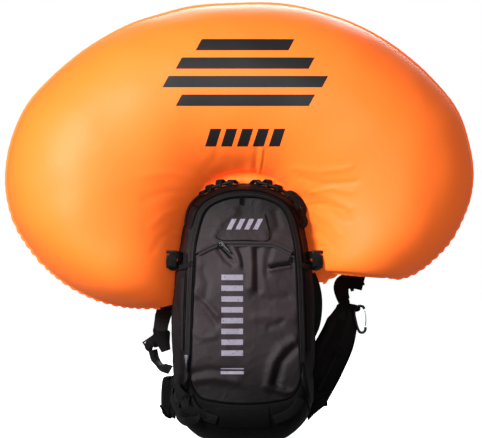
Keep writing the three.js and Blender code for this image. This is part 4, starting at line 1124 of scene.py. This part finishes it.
# Spare hip-belt webbing, looped over the wall's lower left corner: points as (knot, t, height over the
# cloth in mm), and the width in mm.
BUNCH = [
    ([(-3.5, 0.50, 8), (-3.2, 0.62, 22), (-2.6, 0.70, 24), (-2.3, 0.78, 10), (-2.8, 0.80, 14),
      (-3.4, 0.72, 10)], 22),
    ([(-3.1, 0.46, 6), (-2.7, 0.55, 20), (-2.2, 0.66, 24), (-1.9, 0.78, 12), (-2.2, 0.84, 6)], 22),
    ([(-3.7, 0.66, 6), (-3.4, 0.76, 18), (-3.0, 0.84, 18), (-2.6, 0.88, 8)], 20),
    ([(-2.9, 0.86, 6), (-2.5, 0.80, 18), (-2.0, 0.84, 14), (-1.5, 0.86, 5)], 20),
]


def spare_webbing():
    loops = []
    for stops, width in BUNCH:
        path, normal = on_gusset([(knot, t) for knot, t, _ in stops], 0.0, 90)
        height = Spline([(h * MM,) for _, _, h in stops])(np.linspace(0, 1, 90))
        section = rounded_section(width * MM, 0.0026, 0.0011)
        loops.append(swept("loop", path + normal * height, normal, section, WEBBING))
    return settle(join("spare_webbing", loops), "pack", "webbing")


spare_webbing()


# ---- padded harness ----
PUFF_VOXEL = 5 * MM
PUFF_PRESSURE = 4.0
PUFF_FRAMES = 14


def puff(obj, cap):
    """Lets air pressure round a padded piece out for a moment, and caps how far it swells."""
    remesh = obj.modifiers.new("remesh", "REMESH")
    remesh.mode = "VOXEL"
    remesh.voxel_size = PUFF_VOXEL
    bpy.context.view_layer.objects.active = obj
    bpy.ops.object.modifier_apply(modifier=remesh.name)
    mesh = obj.data
    start = np.zeros(len(mesh.vertices) * 3)
    mesh.vertices.foreach_get("co", start)
    cloth = obj.modifiers.new("cloth", "CLOTH")
    cloth.settings.use_pressure = True
    cloth.settings.uniform_pressure_force = PUFF_PRESSURE
    cloth.settings.effector_weights.gravity = 0
    cloth.settings.bending_stiffness = 0.8
    scene = bpy.context.scene
    for frame_number in range(1, PUFF_FRAMES + 1):
        scene.frame_set(frame_number)
    moved = np.zeros_like(start)
    obj.evaluated_get(bpy.context.evaluated_depsgraph_get()).data.vertices.foreach_get("co", moved)
    obj.modifiers.remove(cloth)
    scene.frame_set(1)
    shift = (moved - start).reshape(-1, 3)
    length = np.linalg.norm(shift, axis=1, keepdims=True)
    start = start + (shift * np.minimum(1, cap / np.maximum(length, 1e-9))).ravel()
    mesh.vertices.foreach_set("co", start)
    smooth = obj.modifiers.new("subdivide", "SUBSURF")
    smooth.levels = smooth.render_levels = 1
    bpy.ops.object.modifier_apply(modifier=smooth.name)
    obj.data.polygons.foreach_set("use_smooth", [True] * len(obj.data.polygons))
    return obj


def cut_at(obj, x):
    """Cuts a piece off at an upright plane, keeping the side that lies away from the pack's middle."""
    work = bmesh.new()
    work.from_mesh(obj.data)
    everything = work.verts[:] + work.edges[:] + work.faces[:]
    outward_side = (math.copysign(1, x), 0, 0)
    cut = bmesh.ops.bisect_plane(work, geom=everything, plane_co=(x, 0, 0), plane_no=outward_side,
                                 clear_inner=True)
    bmesh.ops.holes_fill(work, edges=[e for e in cut["geom_cut"] if isinstance(e, bmesh.types.BMEdge)])
    work.to_mesh(obj.data)
    work.free()


BINDING_INSET = 5 * MM
BINDING_RADIUS = 2.4 * MM


def pad(name, points, facing, widths, thickness, body, node, face, quilting=(), cap=0.004, clip=None):
    """A padded strap or wing: foam in cloth, bound round its edge, with sewn lines along it."""
    count = 90
    path = route(points, count)
    up = spread(facing, count)
    wide = spread(np.array(widths, float) * MM, count)
    _, side, lift = frames_along(path, up)
    core = swept(name, path, up, PAD_SECTION, face, scale_side=wide * 0.97,
                 scale_up=np.full(count, thickness * MM * 0.86))
    reach = (wide * 0.485 - BINDING_INSET)[:, None]
    edge = np.concatenate([path + side * reach, (path - side * reach)[::-1]])
    if clip:
        cut_at(core, clip)
        edge = edge[edge[:, 0] * math.copysign(1, clip) > abs(clip) + 0.001]
        gap = int(np.argmax(np.linalg.norm(edge - np.roll(edge, -1, axis=0), axis=1)))
        edge = np.roll(edge, -1 - gap, axis=0)
    puff(core, cap)
    parts = [core, tube("binding", resample(edge, 260), BINDING_RADIUS, TRIM, 10)]
    for share in quilting:
        for face_sign in (-1, 1):
            line = path + side * (wide * share)[:, None] + lift * (face_sign * (thickness * MM / 2 + 0.0006))
            keep = np.arange(3, count - 3)
            if clip:
                keep = keep[line[keep, 0] * math.copysign(1, clip) > abs(clip) + 0.004]
            parts.append(stitches("quilting", line[keep], lift[keep] * face_sign))
    piece = settle(join(name, parts), body, "padding", node)
    return piece


PAD_SECTION = oval_section(0.5, 0.5, 28, thick_power=0.6)
PAD_FACING = [(0, 0.3, 1), (0, 0.7, 0.8), (0, 1, 0.5), (0, 1, 0.1), (0, 1, 0), (0, 1, -0.2), (0, 1, -0.3),
              (0, 1, -0.3)]
STRAP_TOP = [(62, 85, 498), (70, 122, 536), (88, 152, 512), (104, 158, 456), (110, 158, 400)]
STRAP_END = {"left": [(138, 140, 345), (178, 124, 296), (194, 116, 236)],
             "right": [(112, 150, 345), (113, 134, 290), (116, 118, 240)]}
for sign in (-1, 1):
    side = side_name(sign)
    points = [(sign * x, y, z) for x, y, z in STRAP_TOP + STRAP_END[side]]
    pad("shoulder_pad_" + side, points, PAD_FACING, (58, 62, 62, 62, 60, 54, 46, 38), 12, "pack",
        "shoulder_strap_" + side, MESH_PAD, (-0.33, 0.33), cap=0.002)
pad("lumbar_pad_cloth", [(-136, 87, 98), (0, 87, 104), (136, 87, 98)], [BACKWARD], (96, 116, 96), 20, "pack",
    "lumbar_pad", MESH_PAD, (-0.2, 0.2), cap=0.003)
RIGHT_WING = [(122, 87, 34), (150, 88, 92), (184, 89, 154), (216, 89, 216), (231, 89, 264), (237, 87, 308)]
pad("hip_pad_right", RIGHT_WING, [BACKWARD], (44, 104, 104, 94, 80, 30), 18, "right_wing",
    "hip_wing_right", FABRIC_DARK, (-0.25, 0.25), cap=0.005, clip=0.148)
pad("hip_pad_left", [(-153, 93, 88), (-176, 117, 88), (-180, 163, 92), (-156, 203, 98)],
    [(0.6, -1, 0), (1, -0.1, 0), (1, 0.3, 0), (1, 0.7, 0)], (112, 106, 88, 42), 18, "left_wing",
    "hip_wing_left", FABRIC_DARK, (-0.25, 0.25), cap=0.002, clip=-0.155)


def wing_fittings():
    """A zipped pocket on the splayed wing, its belt webbing and the strap ends that stick out past it."""
    count = 80
    swell = np.sin(np.linspace(0.15, math.pi - 0.15, count)) ** 0.4
    middle = route([(166, 74, 118), (184, 72, 150), (202, 73, 186)], count)
    pocket = swept("pocket", middle, FRONTWARD, PAD_SECTION, FABRIC_DARK, scale_side=np.full(count, 0.062),
                   scale_up=0.014 * swell)
    zip_line = route([(176, 64, 106), (196, 63, 144), (216, 65, 184)], count)
    pieces = [pocket, zip_row(zip_line, FRONTWARD, 0.008, "pocket_zip", FABRIC_DARK)]
    for points, width in (
        ([(150, 74, 112), (184, 66, 170), (214, 74, 222), (232, 78, 276), (237, 80, 310)], 0.022),
        ([(196, 78, 196), (218, 74, 192), (236, 76, 190), (241, 80, 186)], 0.018),
        ([(188, 80, 214), (210, 76, 206), (226, 76, 197), (233, 80, 190)], 0.016),
        ([(160, 78, 60), (176, 74, 72), (188, 76, 80), (190, 80, 68)], 0.014),
        ([(236, 79, 302), (252, 76, 300), (262, 68, 298), (267, 72, 295), (262, 78, 293),
          (250, 80, 292)], 0.012),
    ):
        pieces.append(band("wing_strap", points, FRONTWARD, (width, 0.0026, 0.0011), count))
    return settle(join("wing_fittings", pieces), "right_wing", "webbing")


wing_fittings()


CHANNEL_DEPTH = 6 * MM
RIM_DEPTH = 7 * MM
CHANNEL_LEVELS = (0.19, 0.30, 0.41, 0.50)


def back_panel():
    """Thermoformed foam back panel with a raised pad grid and air channels."""
    low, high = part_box("back_panel")
    columns, rows = 120, 220
    height = np.linspace(0.0035, 0.586, rows)
    edge = back_outline(FRONT_KNOTS / SHELL_KNOTS)
    rising = edge[:, 1] > 0.002
    half = np.interp(height, edge[rising, 1], edge[rising, 0]) - 0.004
    half[height > 0.560] = np.maximum(half[height > 0.560], 0.006)
    share = np.linspace(-1, 1, columns)
    x = half[:, None] * share[None, :]
    z = np.repeat(height[:, None], columns, axis=1)
    channel = np.exp(-((x / 0.016) ** 4))
    for level in CHANNEL_LEVELS:
        channel = np.maximum(channel, np.exp(-(((z - level - 0.25 * np.abs(x)) / 0.008) ** 4)))
    side_rim = np.clip((1 - np.abs(share)) / 0.06, 0, 1)[None, :]
    end_rim = np.clip(np.minimum(z - z.min(), z.max() - z) / 0.012, 0, 1)
    y = high[1] - 0.0008 - CHANNEL_DEPTH * channel - RIM_DEPTH * (1 - (side_rim * end_rim) ** 0.5)
    grid = np.stack([x, y, z], axis=-1)
    thickness = (y - low[1] - 0.0004)[..., None]
    obj = shell_from_grid("back_panel_foam", grid, thickness * BACKWARD, 1.0, MESH_PAD)
    piece = settle(obj, "pack", "padding", "back_panel")


back_panel()

# ---- hardware ----
refined("sternum_buckle", PLASTIC, "buckle_plastic", "sternum", 0.0012)
refined("hip_buckle_tongue", PLASTIC, "buckle_plastic", "right_wing", 0.001)
refined("hip_buckle_socket", PLASTIC, "buckle_plastic", "left_wing", 0.0016)
refined("trigger_handle", RED, "signal_red", "handle", 0.003, 4)
refined("trigger_holster", PLASTIC, "buckle_plastic", bevel=0.002, segments=3)


def carabiner():
    """A hooked aluminium frame with a wire gate."""
    bend = [(282, 294), (278.5, 299.5), (269.5, 301), (261.5, 296), (258.5, 285), (261.5, 267), (266.5, 249),
            (271.5, 240.5), (278.5, 239.5), (283.5, 244), (284.8, 252)]
    path = resample(np.array([(x, 73, z) for x, z in bend]) * MM, 160)
    frame_bar = tube("carabiner_body", path, 0.0031, BLACK_METAL, 16)
    settle(frame_bar, "right_wing", "carabiner_black", "carabiner_frame")
    wires = []
    for sign in (-1, 1):
        wire = [(284.5, 73 + sign * 2.0, 255), (285.5, 73 + sign * 2.4, 269), (284.5, 73 + sign * 1.8, 283),
                (282.9, 73, 290.4)]
        wires.append(tube("wire", resample(np.array(wire) * MM, 40), 0.0011, STEEL, 10))
    settle(join("carabiner_wire_gate", wires), "gate", "gate_steel", "carabiner_gate")


carabiner()


# ---- stage ----
def make_stage():
    """A plain white floor, which gives no light of its own to the pack."""
    shader = Shader("studio_white")
    vector, _ = shader.place()
    drift = shader.noise(vector, 2.0)
    shader.colour(shader.ramp(drift, [(0.2, (0.84, 0.84, 0.84)), (0.8, (0.87, 0.87, 0.87))]))
    shader.set(Roughness=0.9, Specular_IOR_Level=0.1, Emission_Color=(1, 1, 1, 1), Emission_Strength=0.88)
    points = [(-9, -9, 0), (9, -9, 0), (9, 9, 0), (-9, 9, 0)]
    floor = mesh_object("studio_floor", points, [(0, 1, 2, 3)], shader.material)
    floor.visible_diffuse = False
    floor.visible_glossy = False


LIGHT_AIM = Vector((0, 0, 0.5))


def area_light(name, place, size, power):
    data = bpy.data.lights.new(name, "AREA")
    data.shape = "RECTANGLE"
    data.size = data.size_y = size
    data.energy = power
    light = link(bpy.data.objects.new(name, data))
    light.location = place
    light.rotation_euler = (LIGHT_AIM - Vector(place)).to_track_quat("-Z", "Y").to_euler()


def make_world():
    """White where the camera sees it, and dim as a light, so that blacks stay black."""
    world = bpy.data.worlds.new("studio")
    world.use_nodes = True
    tree = world.node_tree
    path = tree.nodes.new("ShaderNodeLightPath")
    strength = tree.nodes.new("ShaderNodeMapRange")
    strength.inputs["To Min"].default_value = 0.16
    strength.inputs["To Max"].default_value = 1.0
    tree.links.new(path.outputs["Is Camera Ray"], strength.inputs["Value"])
    background = tree.nodes["Background"]
    background.inputs["Color"].default_value = (1, 1, 1, 1)
    tree.links.new(strength.outputs[0], background.inputs["Strength"])
    bpy.context.scene.world = world


make_stage()
make_world()
area_light("key", (-2.5, -2.9, 1.7), 1.5, 300)
area_light("fill", (0.4, -3.8, 1.1), 1.8, 40)
area_light("rim", (1.6, 2.6, 2.2), 1.2, 6)
area_light("back", (0.3, 3.0, 2.6), 1.8, 120)
bpy.context.scene.view_settings.view_transform = "Standard"
